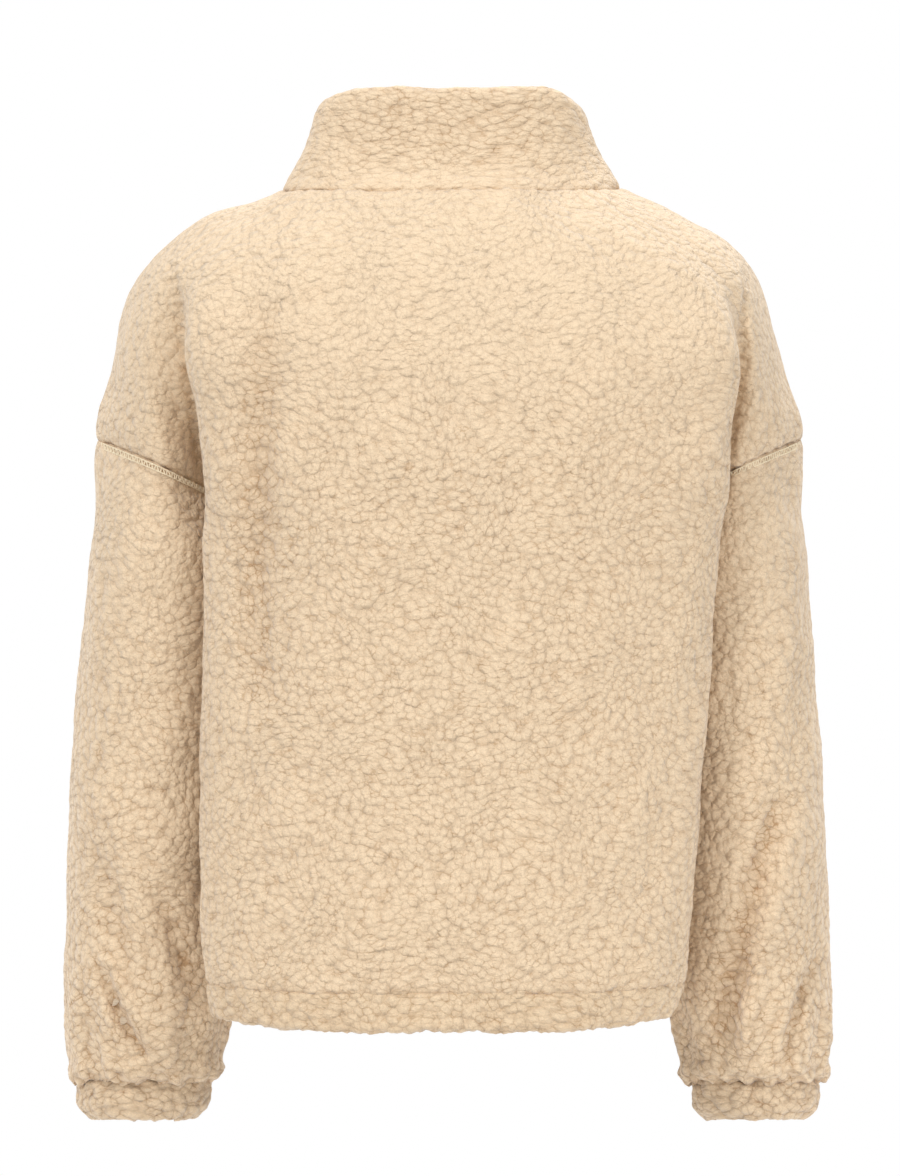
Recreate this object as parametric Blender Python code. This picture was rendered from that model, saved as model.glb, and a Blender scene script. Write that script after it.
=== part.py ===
"""Sherpa fleece jacket, filled out as worn with no wearer.

One cloth surface is lofted through sections of the shoulders, trunk, sleeves and collar. It is then cut
along the seams into the pieces that are sewn, and each piece gets the thickness of its cloth inwards.
Metres, +Z up. The front faces -Y and the wearer's left is +X. The origin lies between the two neck
points, where the shoulders carry the jacket.
"""

import math
from collections import namedtuple

import bmesh
import bpy
import numpy as np
from mathutils import Matrix, Vector

# Driving dimensions
CLOTH = 0.005  # one layer of sherpa with its pile
DOUBLE_CLOTH = 0.0085  # collar, cuffs and hem are folded double
SEAM_GAP = 0.0005
SEAM_DIP = 0.0012  # the pile sinks by this much where a seam pulls it in
FRONT_EDGE = 0.0075  # half the channel between the fronts, where the zip shows
TAPE_THICKNESS = 0.0014
TEETH_THICKNESS = 0.0026
TEETH_HALF_WIDTH = 0.0030
SLIDER_HALF_WIDTH = 0.0042
SLIDER_LENGTH = 0.0115
SLIDER_PLATE = 0.0010
PULL_LENGTH = 0.030
PULL_HALF_WIDTH = 0.0032
PULL_THICKNESS = 0.0013
ZIP_DEPTH = 0.0028  # the middle of the tape lies this far behind the face of the cloth
TAPE_END = 0.007  # how far the tape stops short of the collar's edge and of the hem's
TAPE_STATIONS = 26
NOTCH_LENGTH = 0.0075  # the tapes stand apart here, above the teeth, for the slider's post
POST_HALF_WIDTH = 0.0017
BOX_LENGTH = 0.0085
BOX_HALF_WIDTH = 0.0034
BAIL_HALF_WIDTH = 0.0010
BAIL_SPAN = 0.0066
BAIL_CLEARANCE = 0.0024
BAIL_BAR = 0.0009

CREAM = (0.78, 0.66, 0.49)
TAPE_COLOUR = (0.70, 0.60, 0.45)
METAL_COLOUR = (0.62, 0.60, 0.56)

# Quads across each span between two key columns, from the centre back round to the centre front
TRUNK_BACK_SPANS = (3, 3, 3)
ARM_SPANS = (4, 4, 4, 4)
TRUNK_FRONT_SPANS = (2, 3, 2)
BLADE_SHARE = 0.56  # the shoulder blade lies at this share of the fold's distance from the centre
BLADE_DROP = 0.16
CHEST_SHARE = 0.50
CHEST_DROP = 0.12
ARM_SHARE = 0.42  # how far down from the ridge to the crease the broadest line of the arm lies

# Sections of the shoulders, from the neck seam down to the armhole seam. Each is in three parts: the ridge
# that the shoulder seam runs along, the back with the fold where it laps over the arm, and the front
Ridge = namedtuple("Ridge", "left right y z")
RIDGE = [
    Ridge(0.1145, 0.1145, 0.000, 0.000),
    Ridge(0.132, 0.131, -0.001, -0.007),
    Ridge(0.168, 0.163, -0.004, -0.020),
    Ridge(0.203, 0.200, -0.008, -0.046),
    Ridge(0.2235, 0.217, -0.012, -0.082),
    Ridge(0.2315, 0.2265, -0.014, -0.125),
    Ridge(0.2395, 0.2375, -0.016, -0.170),
]

BackYoke = namedtuple(
    "BackYoke", "z y fold_left fold_right fold_y crease_left crease_right crease_y crease_z arm_x arm_y"
)
BACK_YOKE = [
    BackYoke(0.000, 0.066, 0.090, 0.090, 0.041, 0.104, 0.104, 0.028, 0.000, 0.111, 0.016),
    BackYoke(-0.018, 0.081, 0.106, 0.106, 0.056, 0.118, 0.118, 0.042, -0.012, 0.127, 0.023),
    BackYoke(-0.042, 0.095, 0.132, 0.132, 0.071, 0.147, 0.147, 0.054, -0.032, 0.160, 0.030),
    BackYoke(-0.075, 0.106, 0.168, 0.170, 0.076, 0.181, 0.183, 0.056, -0.062, 0.194, 0.036),
    BackYoke(-0.112, 0.114, 0.1775, 0.193, 0.079, 0.180, 0.193, 0.050, -0.100, 0.206, 0.041),
    BackYoke(-0.156, 0.119, 0.170, 0.191, 0.073, 0.168, 0.182, 0.034, -0.150, 0.206, 0.042),
    BackYoke(-0.205, 0.120, 0.1665, 0.187, 0.065, 0.149, 0.149, -0.014, -0.212, 0.197, 0.037),
]

FrontYoke = namedtuple("FrontYoke", "z y chest_x chest_y crease_x crease_y crease_z arm_x arm_y")
FRONT_YOKE = [
    FrontYoke(-0.072, -0.080, 0.085, -0.050, 0.102, -0.034, -0.020, 0.111, -0.017),
    FrontYoke(-0.084, -0.090, 0.101, -0.062, 0.118, -0.042, -0.028, 0.128, -0.021),
    FrontYoke(-0.099, -0.101, 0.124, -0.077, 0.145, -0.054, -0.045, 0.160, -0.029),
    FrontYoke(-0.119, -0.111, 0.143, -0.090, 0.168, -0.063, -0.068, 0.190, -0.044),
    FrontYoke(-0.144, -0.119, 0.151, -0.098, 0.173, -0.068, -0.102, 0.205, -0.063),
    FrontYoke(-0.174, -0.125, 0.149, -0.101, 0.162, -0.062, -0.148, 0.206, -0.076),
    FrontYoke(-0.205, -0.129, 0.140, -0.100, 0.149, -0.014, -0.212, 0.197, -0.080),
]

# Sections of the trunk, from the chest down to the hem. Lift is how far the hem rises at the sides
Trunk = namedtuple("Trunk", "z back_y fold_left fold_right fold_y side_x side_y chest_x chest_y front_y lift")
TRUNK = [
    Trunk(-0.240, 0.119, 0.166, 0.182, 0.056, 0.138, -0.018, 0.135, -0.096, -0.130, 0.000),
    Trunk(-0.330, 0.114, 0.1685, 0.1755, 0.048, 0.1355, -0.022, 0.133, -0.092, -0.129, 0.000),
    Trunk(-0.430, 0.108, 0.170, 0.1675, 0.042, 0.1345, -0.024, 0.132, -0.089, -0.126, 0.000),
    Trunk(-0.500, 0.104, 0.169, 0.162, 0.038, 0.135, -0.024, 0.132, -0.086, -0.122, 0.002),
    Trunk(-0.5445, 0.101, 0.1665, 0.158, 0.036, 0.1345, -0.024, 0.131, -0.083, -0.119, 0.010),
    Trunk(-0.571, 0.097, 0.1615, 0.149, 0.033, 0.130, -0.022, 0.127, -0.079, -0.114, 0.015),
]

# Rings of the sleeves and cuffs. Tilt is how much higher the outer side is than the inner one
Sleeve = namedtuple("Sleeve", "z outer_left outer_right inner centre_y half_depth tilt")
SLEEVE = [
    Sleeve(-0.235, 0.2425, 0.2395, 0.152, -0.022, 0.060, 0.020),
    Sleeve(-0.300, 0.2505, 0.2450, 0.145, -0.032, 0.062, 0.008),
    Sleeve(-0.380, 0.2580, 0.2520, 0.144, -0.040, 0.063, 0.000),
    Sleeve(-0.460, 0.2620, 0.2565, 0.145, -0.047, 0.062, 0.000),
    Sleeve(-0.530, 0.2635, 0.2590, 0.147, -0.053, 0.060, 0.000),
    Sleeve(-0.575, 0.2635, 0.2605, 0.154, -0.056, 0.055, 0.000),
    Sleeve(-0.597, 0.2585, 0.2555, 0.159, -0.057, 0.046, 0.000),
    Sleeve(-0.604, 0.2545, 0.2500, 0.1635, -0.057, 0.036, 0.000),
]
CUFF = [
    Sleeve(-0.612, 0.2560, 0.2510, 0.1630, -0.057, 0.037, 0.000),
    Sleeve(-0.624, 0.2550, 0.2500, 0.1645, -0.057, 0.0355, 0.000),
    Sleeve(-0.6345, 0.2435, 0.2390, 0.1750, -0.057, 0.029, 0.000),
]

# Rings of the collar above the neck seam, each with its heights at the back, the sides and the front
Collar = namedtuple("Collar", "side_x back_y front_y back_z side_z front_z")
COLLAR = [
    Collar(0.1085, 0.0570, -0.0800, 0.012, 0.011, -0.058),
    Collar(0.0998, 0.0520, -0.0810, 0.031, 0.027, -0.038),
    Collar(0.0945, 0.0510, -0.0820, 0.052, 0.040, -0.014),
    Collar(0.0903, 0.0500, -0.0810, 0.066, 0.052, 0.006),
    Collar(0.0850, 0.0440, -0.0750, 0.0705, 0.057, 0.012),
]

# Soft troughs in the cloth, seen from behind (+1) or from the front (-1), each through three points
Fold = namedtuple("Fold", "facing x_top z_top x_middle z_middle x_foot z_foot depth width")
FOLDS = [
    Fold(1, 0.126, -0.090, 0.134, -0.210, 0.131, -0.340, 0.0050, 0.016),
    Fold(1, -0.215, -0.085, -0.219, -0.110, -0.219, -0.140, 0.0050, 0.010),
    Fold(1, 0.238, -0.530, 0.227, -0.553, 0.214, -0.575, 0.0060, 0.009),
    Fold(1, 0.188, -0.505, 0.181, -0.525, 0.172, -0.545, 0.0050, 0.010),
    Fold(1, -0.214, -0.445, -0.200, -0.510, -0.190, -0.575, 0.0075, 0.011),
    Fold(1, -0.252, -0.520, -0.238, -0.556, -0.229, -0.590, 0.0060, 0.009),
    Fold(-1, 0.120, -0.120, 0.112, -0.200, 0.096, -0.290, 0.0050, 0.014),
    Fold(-1, -0.124, -0.130, -0.113, -0.220, -0.100, -0.320, 0.0050, 0.014),
    Fold(-1, 0.222, -0.200, 0.206, -0.245, 0.188, -0.280, 0.0060, 0.012),
    Fold(-1, -0.224, -0.210, -0.205, -0.262, -0.184, -0.300, 0.0060, 0.012),
    Fold(-1, 0.236, -0.500, 0.218, -0.535, 0.202, -0.575, 0.0060, 0.010),
    Fold(-1, -0.194, -0.470, -0.205, -0.520, -0.222, -0.572, 0.0065, 0.010),
]
GATHERS = 9  # soft waves round a sleeve where the cuff draws it in
GATHER_DEPTH = 0.0022


def smooth(rows, steps):
    """A centripetal Catmull-Rom curve down each column of points, with steps[i] quads in span i."""
    rows = np.asarray(rows, float)
    before = 2 * rows[0] - rows[1]
    after = 2 * rows[-1] - rows[-2]
    padded = np.concatenate([before[None], rows, after[None]])
    gaps = np.sqrt(np.linalg.norm(np.diff(padded, axis=0), axis=-1, keepdims=True)) + 1e-6
    slopes = np.diff(padded, axis=0) / gaps
    across = (padded[2:] - padded[:-2]) / (gaps[1:] + gaps[:-1])
    tangents = slopes[:-1] - across + slopes[1:]
    made = []
    for i, count in enumerate(steps):
        t = (np.arange(count) / count).reshape((-1,) + (1,) * (rows.ndim - 1))
        span = gaps[i + 1]
        made.append(
            (2 * t**3 - 3 * t**2 + 1) * rows[i]
            + (t**3 - 2 * t**2 + t) * span * tangents[i]
            + (3 * t**2 - 2 * t**3) * rows[i + 1]
            + (t**3 - t**2) * span * tangents[i + 1]
        )
    return np.concatenate(made + [rows[-1:]])


def half_section(points, steps):
    """A curve through key points from centre to centre, which runs on into its mirror image at both."""
    points = [np.array(p, float) for p in points]
    mirror = np.array([-1.0, 1.0, 1.0])
    keys = [points[1] * mirror] + points + [points[-2] * mirror]
    return smooth(keys, (1,) + tuple(steps) + (1,))[1:-1]


def yoke_section(ridge, back, front, side):
    """One section of a shoulder, from the centre back over the arm to the front edge."""
    left = side > 0
    fold_x = back.fold_left if left else back.fold_right
    crease_x = back.crease_left if left else back.crease_right
    ridge_x = ridge.left if left else ridge.right
    chest_z = 0.5 * (front.z + front.crease_z)
    breast_y = front.y - CHEST_DROP * (front.y - front.chest_y)
    points = [
        (0, back.y, back.z),
        (BLADE_SHARE * fold_x, back.y - BLADE_DROP * (back.y - back.fold_y), back.z),
        (fold_x, back.fold_y, 0.7 * back.z + 0.3 * back.crease_z),
        (crease_x, back.crease_y, back.crease_z),
        (back.arm_x, back.arm_y, ARM_SHARE * back.crease_z + (1 - ARM_SHARE) * ridge.z),
        (ridge_x, ridge.y, ridge.z),
        (front.arm_x, front.arm_y, ARM_SHARE * front.crease_z + (1 - ARM_SHARE) * ridge.z),
        (front.crease_x, front.crease_y, front.crease_z),
        (front.chest_x, front.chest_y, chest_z),
        (CHEST_SHARE * front.chest_x, breast_y, 0.8 * front.z + 0.2 * chest_z),
        (FRONT_EDGE, front.y, front.z),
    ]
    return half_section(points, TRUNK_BACK_SPANS + ARM_SPANS + TRUNK_FRONT_SPANS) * (side, 1, 1)


def trunk_section(row, side):
    """Half a section of the trunk from the centre back to the front edge, with the hem's lift at the side."""
    fold_x = row.fold_left if side > 0 else row.fold_right
    breast_y = row.front_y - CHEST_DROP * (row.front_y - row.chest_y)
    points = [
        (0, row.back_y, row.z),
        (BLADE_SHARE * fold_x, row.back_y - BLADE_DROP * (row.back_y - row.fold_y), row.z),
        (fold_x, row.fold_y, row.z + 0.55 * row.lift),
        (row.side_x, row.side_y, row.z + row.lift),
        (row.chest_x, row.chest_y, row.z + 0.7 * row.lift),
        (CHEST_SHARE * row.chest_x, breast_y, row.z + 0.2 * row.lift),
        (FRONT_EDGE, row.front_y, row.z + 0.1 * row.lift),
    ]
    return half_section(points, TRUNK_BACK_SPANS + TRUNK_FRONT_SPANS) * (side, 1, 1)


def sleeve_ring(row, side):
    """A ring of the sleeve: from the inner seam round the back, the outer side and the front."""
    outer = row.outer_left if side > 0 else row.outer_right
    count = sum(ARM_SPANS)
    turn = np.arange(count + 1) * 2 * math.pi / count
    half_width = 0.5 * (outer - row.inner)
    x = 0.5 * (outer + row.inner) - half_width * np.cos(turn)
    y = row.centre_y + row.half_depth * np.sin(turn)
    z = row.z - 0.5 * row.tilt * np.cos(turn)
    return np.stack([side * x, y, z], axis=-1)


def collar_ring(row, side, neck):
    """Half a ring of the collar over the same columns as the neck seam, by each column's bearing there."""
    turn = np.arctan2(neck[:, 1] / np.where(neck[:, 1] > 0, 0.066, 0.080), np.abs(neck[:, 0]) / 0.1145)
    depth = np.where(turn > 0, row.back_y, -row.front_y)
    x = row.side_x * np.cos(turn)
    x[-1] = FRONT_EDGE
    rise = np.sin(turn)
    upper = row.side_z + (row.back_z - row.side_z) * np.clip(rise * 1.5, 0, 1)
    lower = row.side_z + (row.front_z - row.side_z) * (0.5 - 0.5 * np.cos(math.pi * np.clip(-rise, 0, 1)))
    return np.stack([side * x, depth * rise, np.where(turn > 0, upper, lower)], axis=-1)


def quads_of(rows, columns):
    """Corner indices of the quads of a grid of points."""
    first = (np.arange(rows - 1)[:, None] * columns + np.arange(columns - 1)[None]).reshape(-1)
    return np.stack([first, first + columns, first + columns + 1, first + 1], axis=-1)


class ClothSurface:
    """The jacket's outer surface: grids welded together, so that pieces share seam points and normals."""

    def __init__(self):
        self.grids = []

    def add(self, piece, grid, side):
        self.grids.append((piece, grid, side))

    def weld(self):
        """Joins the grids into one mesh: points, and each piece's quads."""
        stacked = np.concatenate([grid.reshape(-1, 3) for _, grid, _ in self.grids])
        _, first, index = np.unique(np.round(stacked, 6), axis=0, return_index=True, return_inverse=True)
        self.points = stacked[first]
        self.pieces = {}
        start = 0
        for piece, grid, side in self.grids:
            quads = index.reshape(-1)[quads_of(grid.shape[0], grid.shape[1]) + start]
            if side > 0:
                quads = quads[:, ::-1]
            self.pieces.setdefault(piece, []).append(quads)
            start += grid.shape[0] * grid.shape[1]
        self.pieces = {piece: np.concatenate(parts) for piece, parts in self.pieces.items()}

    def normals(self):
        """The mean of the face normals round each point, which all the pieces that meet there share."""
        quads = np.concatenate(list(self.pieces.values()))
        corner = self.points[quads]
        face = np.cross(corner[:, 2] - corner[:, 0], corner[:, 3] - corner[:, 1])
        total = np.zeros_like(self.points)
        for k in range(4):
            np.add.at(total, quads[:, k], face)
        return total / np.maximum(np.linalg.norm(total, axis=1, keepdims=True), 1e-12)

    def press_folds(self):
        """Lowers the surface along each fold as a soft trough that fades out at both ends."""
        normals = self.normals()
        depth = np.zeros(len(self.points))
        for fold in FOLDS:
            corners = [(fold.x_top, fold.z_top), (fold.x_middle, fold.z_middle), (fold.x_foot, fold.z_foot)]
            path = smooth(np.array(corners), (8, 8))
            away = self.points[:, None, [0, 2]] - path[None]
            distance = np.linalg.norm(away, axis=-1)
            nearest = distance.argmin(axis=1)
            along = nearest / (len(path) - 1)
            fade = np.sin(math.pi * (0.08 + 0.84 * along)) ** 0.5
            facing = np.clip(normals[:, 1] * fold.facing * 1.6, 0, 1)
            depth += fold.depth * fade * facing * np.exp(-((distance.min(axis=1) / fold.width) ** 2))
        self.points = self.points - normals * depth[:, None]

    def seam_points(self, piece):
        """Which points of a piece lie on its border."""
        quads = self.pieces[piece]
        edges = np.concatenate([quads[:, [k, (k + 1) % 4]] for k in range(4)])
        _, index, count = np.unique(np.sort(edges, axis=1), axis=0, return_inverse=True, return_counts=True)
        return edges[count[index.reshape(-1)] == 1]

    def walled(self, piece, normals, thickness):
        """The piece as a closed wall: its outer side, its inner side, and the rim between them.

        The rim's squares are split from the lower-numbered outer point, so that both pieces at a seam agree.
        """
        quads = self.pieces[piece]
        border = self.seam_points(piece)
        rim = np.unique(border)
        middle = self.points[quads].mean(axis=1)
        pull = np.zeros_like(self.points)
        for k in range(4):
            np.add.at(pull, quads[:, k], middle - self.points[quads[:, k]])
        pull[rim] -= (pull[rim] * normals[rim]).sum(axis=1, keepdims=True) * normals[rim]
        length = np.linalg.norm(pull[rim], axis=1, keepdims=True)
        outer = self.points.copy()
        outer[rim] += pull[rim] / length * SEAM_GAP / 2
        inner = outer - normals * thickness
        outer[rim] -= normals[rim] * SEAM_DIP
        used = np.unique(quads)
        slot = np.zeros(len(self.points), int)
        slot[used] = np.arange(len(used))
        count = len(used)
        faces = [tuple(q) for q in slot[quads]]
        faces += [tuple(q[::-1] + count) for q in slot[quads]]
        for b, a in border:
            first, last = slot[a], slot[b]
            if a < b:
                faces += [(first, last, last + count), (first, last + count, first + count)]
            else:
                faces += [(first, last, first + count), (last, last + count, first + count)]
        return np.concatenate([outer[used], inner[used]]), faces


def gathered(rings, side):
    """Waves round the sleeve that grow towards the cuff seam and die out on it."""
    rings = rings.copy()
    start = -0.535
    end = -0.604
    growth = np.clip((start - rings[..., 2]) / (start - end), 0, 1)
    share = np.sin(math.pi * growth**1.4)
    centre = rings[:, :-1].mean(axis=1, keepdims=True)
    outward = (rings - centre) * (1, 1, 0)
    outward /= np.maximum(np.linalg.norm(outward, axis=-1, keepdims=True), 1e-9)
    turn = np.arange(rings.shape[1]) * 2 * math.pi / (rings.shape[1] - 1)
    wave = np.cos(GATHERS * turn + side * 0.7)
    return rings + outward * (GATHER_DEPTH * share * wave[None])[..., None]


def lay_out_cloth():
    """Lofts every stretch of the jacket's surface and names the piece that it belongs to."""
    surface = ClothSurface()
    back_columns = sum(TRUNK_BACK_SPANS)
    arm_columns = sum(ARM_SPANS)
    ridge = back_columns + arm_columns // 2
    front_start = back_columns + arm_columns
    centre_front = {}
    for side, name in ((1, "left"), (-1, "right")):
        yoke_keys = np.array([yoke_section(*rows, side) for rows in zip(RIDGE, BACK_YOKE, FRONT_YOKE)])
        trunk_keys = np.array([trunk_section(row, side) for row in TRUNK])
        sleeve_keys = np.array([sleeve_ring(row, side) for row in SLEEVE])
        cuff_keys = np.array([sleeve_ring(row, side) for row in CUFF])
        collar_keys = np.array([collar_ring(row, side, yoke_keys[0]) for row in COLLAR])

        trunk_from_yoke = np.delete(yoke_keys, np.s_[back_columns + 1 : front_start + 1], axis=1)
        yoke_steps = (1, 2, 2, 2, 2, 3)
        trunk_steps = (2, 3, 3, 2, 2)
        hem_steps = (2,)
        trunk = smooth(np.concatenate([trunk_from_yoke, trunk_keys]), yoke_steps + trunk_steps + hem_steps)
        arm_from_yoke = yoke_keys[:, back_columns : front_start + 1]
        sleeve_steps = (2, 2, 3, 3, 3, 2, 2, 1)
        cuff_steps = (1, 2, 1)
        arm = smooth(
            np.concatenate([arm_from_yoke, sleeve_keys, cuff_keys]), yoke_steps + sleeve_steps + cuff_steps
        )
        yoke_rows = sum(yoke_steps)
        hem_start = yoke_rows + sum(trunk_steps)
        cuff_start = yoke_rows + sum(sleeve_steps)
        yoke = smooth(yoke_keys, yoke_steps)
        yoke[:, : back_columns + 1] = trunk[: yoke_rows + 1, : back_columns + 1]
        yoke[:, front_start + 1 :] = trunk[: yoke_rows + 1, back_columns + 1 :]
        yoke[:, back_columns + 1 : front_start] = arm[: yoke_rows + 1, 1:-1]
        arm[yoke_rows:, 0] = arm[yoke_rows:, -1] = 0.5 * (arm[yoke_rows:, 0] + arm[yoke_rows:, -1])
        arm[yoke_rows:] = gathered(arm[yoke_rows:], side)
        yoke[-1, front_start] = yoke[-1, back_columns]
        arm[yoke_rows, [0, -1]] = yoke[-1, back_columns]

        surface.add("back_panel", yoke[:, : ridge + 1], side)
        surface.add("front_" + name, yoke[:, ridge:], side)
        surface.add("back_panel", trunk[yoke_rows : hem_start + 1, : back_columns + 1], side)
        surface.add("front_" + name, trunk[yoke_rows : hem_start + 1, back_columns:], side)
        surface.add("hem_back", trunk[hem_start:, : back_columns + 1], side)
        surface.add("hem_front_" + name, trunk[hem_start:, back_columns:], side)
        surface.add("sleeve_" + name, arm[yoke_rows : cuff_start + 1], side)
        surface.add("cuff_" + name, arm[cuff_start:], side)
        collar = smooth(np.concatenate([collar_keys[::-1], yoke[:1]]), (1, 1, 2, 2, 2))
        surface.add("collar", collar, side)
        centre_front[side] = np.concatenate([collar[:, -1], yoke[1:, -1], trunk[yoke_rows + 1 :, -1]])
    surface.weld()
    surface.press_folds()
    path = 0.5 * (centre_front[1] + centre_front[-1] * (-1, 1, 1))
    return surface, path[:, 1:]


def material(name, colour, roughness, metallic=0.0):
    made = bpy.data.materials.new(name)
    made.use_nodes = True
    shader = made.node_tree.nodes["Principled BSDF"]
    shader.inputs["Base Color"].default_value = (*colour, 1.0)
    shader.inputs["Roughness"].default_value = roughness
    shader.inputs["Metallic"].default_value = metallic
    made.diffuse_color = (*colour, 1.0)
    return made


def add_mesh(name, points, faces, collection, finish):
    """A smooth-shaded object with one material from points and faces."""
    mesh = bpy.data.meshes.new(name)
    mesh.from_pydata([tuple(p) for p in points], [], [tuple(int(i) for i in f) for f in faces])
    mesh.shade_smooth()
    mesh.set_sharp_from_angle(angle=math.radians(50))
    mesh.materials.append(finish)
    made = bpy.data.objects.new(name, mesh)
    collection.objects.link(made)
    return made


def start_scene():
    """An empty scene with a collection for the jacket and one for the cutters."""
    for old in list(bpy.data.objects):
        bpy.data.objects.remove(old, do_unlink=True)
    jacket = bpy.data.collections.new("sherpa_fleece_jacket")
    cutters = bpy.data.collections.new("cutters")
    for collection in (jacket, cutters):
        bpy.context.scene.collection.children.link(collection)
    return jacket, cutters


def build_cloth(surface, collection):
    """One object for each sewn piece."""
    normals = surface.normals()
    for piece in surface.pieces:
        double = piece.startswith(("collar", "cuff", "hem"))
        points, faces = surface.walled(piece, normals, DOUBLE_CLOTH if double else CLOTH)
        add_mesh(piece, points, faces, collection, material(piece + "_sherpa", CREAM, 0.95))


def zip_stations(path, marks):
    """Points, directions and outward normals at lengths along the centre front, from the collar down."""
    length = np.concatenate([[0], np.cumsum(np.linalg.norm(np.diff(path, axis=0), axis=1))])
    places = np.stack([np.interp(marks, length, path[:, k]) for k in (0, 1)], axis=1)
    ahead = np.stack([np.interp(np.asarray(marks) + 0.006, length, path[:, k]) for k in (0, 1)], axis=1)
    behind = np.stack([np.interp(np.asarray(marks) - 0.006, length, path[:, k]) for k in (0, 1)], axis=1)
    along = ahead - behind
    along /= np.linalg.norm(along, axis=1, keepdims=True)
    outward = np.stack([along[:, 1], -along[:, 0]], axis=1)
    return places - outward * ZIP_DEPTH, along, outward


def build_tape(name, side, path, collection):
    """Half of the zip: the tape with its row of teeth, from the top of the collar to the hem's edge."""
    foot = np.linalg.norm(np.diff(path, axis=0), axis=1).sum() - TAPE_END
    teeth_top = TAPE_END + NOTCH_LENGTH
    teeth_foot = foot - BOX_LENGTH
    step = 0.0008
    inside = np.linspace(teeth_top + step, teeth_foot - step, TAPE_STATIONS)
    marks = np.concatenate([[TAPE_END, teeth_top], inside, [teeth_foot, foot]])
    places, _, outward = zip_stations(path, marks)
    toothed = (marks > teeth_top) & (marks < teeth_foot)
    gap = SEAM_GAP / 2
    inner_x = np.where(toothed, gap, np.where(marks <= teeth_top, POST_HALF_WIDTH, BOX_HALF_WIDTH) + 2 * gap)
    middle_x = np.where(toothed, TEETH_HALF_WIDTH, BOX_HALF_WIDTH + 4 * gap)
    outer_x = np.full(len(marks), FRONT_EDGE - 0.0006)
    thin = np.full(len(marks), TAPE_THICKNESS / 2)
    thick = np.where(toothed, TEETH_THICKNESS / 2, TAPE_THICKNESS / 2 + 0.0001)
    x = np.stack([inner_x, middle_x, middle_x, outer_x, outer_x, middle_x, middle_x, inner_x], axis=1)
    depth = np.stack([thick, thick, thin, thin, -thin, -thin, -thick, -thick], axis=1)
    flat = places[:, None] + depth[..., None] * outward[:, None]
    points = np.concatenate([side * x[..., None], flat], axis=-1)
    rows, columns = x.shape
    rings = [[r * columns + c for c in range(columns)] for r in range(rows)]
    faces = [rings[0][::-1], rings[-1]]
    for upper, lower in zip(rings[:-1], rings[1:]):
        faces += [(upper[c - 1], upper[c], lower[c], lower[c - 1]) for c in range(columns)]
    if side > 0:
        faces = [face[::-1] for face in faces]
    add_mesh(name, points.reshape(-1, 3), faces, collection, material(name + "_cloth", TAPE_COLOUR, 0.8))


def zip_frame(path, mark):
    """The zip's own axes at one place: X across it, Y out of it and Z down it."""
    places, along, outward = zip_stations(path, [mark])
    frame = Matrix.Identity(4)
    frame.col[1] = (0, *outward[0], 0)
    frame.col[2] = (0, *along[0], 0)
    frame.col[3] = (0, *places[0], 1)
    return frame


def block(name, low, high, collection):
    """A box between two corners, in the frame that its object is given later."""
    mesh = bpy.data.meshes.new(name)
    shape = bmesh.new()
    bmesh.ops.create_cube(shape, size=1)
    size = Vector(high) - Vector(low)
    middle = (Vector(high) + Vector(low)) / 2
    place = Matrix.Translation(middle) @ Matrix.Diagonal((*size, 1))
    bmesh.ops.transform(shape, matrix=place, verts=shape.verts)
    shape.to_mesh(mesh)
    shape.free()
    made = bpy.data.objects.new(name, mesh)
    collection.objects.link(made)
    return made


def rod(name, radius, low, high, collection):
    """A round bar between two points of its object's frame."""
    mesh = bpy.data.meshes.new(name)
    shape = bmesh.new()
    axis = Vector(high) - Vector(low)
    bmesh.ops.create_cone(
        shape, cap_ends=True, segments=16, radius1=radius, radius2=radius, depth=axis.length
    )
    turn = axis.to_track_quat("Z", "Y").to_matrix().to_4x4()
    middle = Matrix.Translation((Vector(high) + Vector(low)) / 2)
    bmesh.ops.transform(shape, matrix=middle @ turn, verts=shape.verts)
    shape.to_mesh(mesh)
    shape.free()
    made = bpy.data.objects.new(name, mesh)
    collection.objects.link(made)
    return made


def join_shapes(base, others, frame, finish):
    """Unites helper shapes with a base, all in one frame, and softens the edges."""
    base.matrix_world = frame
    base.data.materials.append(finish)
    for other in others:
        other.matrix_world = frame
        other.hide_render = True
        other.display_type = "WIRE"
        union = base.modifiers.new("join_" + other.name, "BOOLEAN")
        union.operation = "UNION"
        union.object = other
    base.data.shade_smooth()
    base.data.set_sharp_from_angle(angle=math.radians(35))


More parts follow.
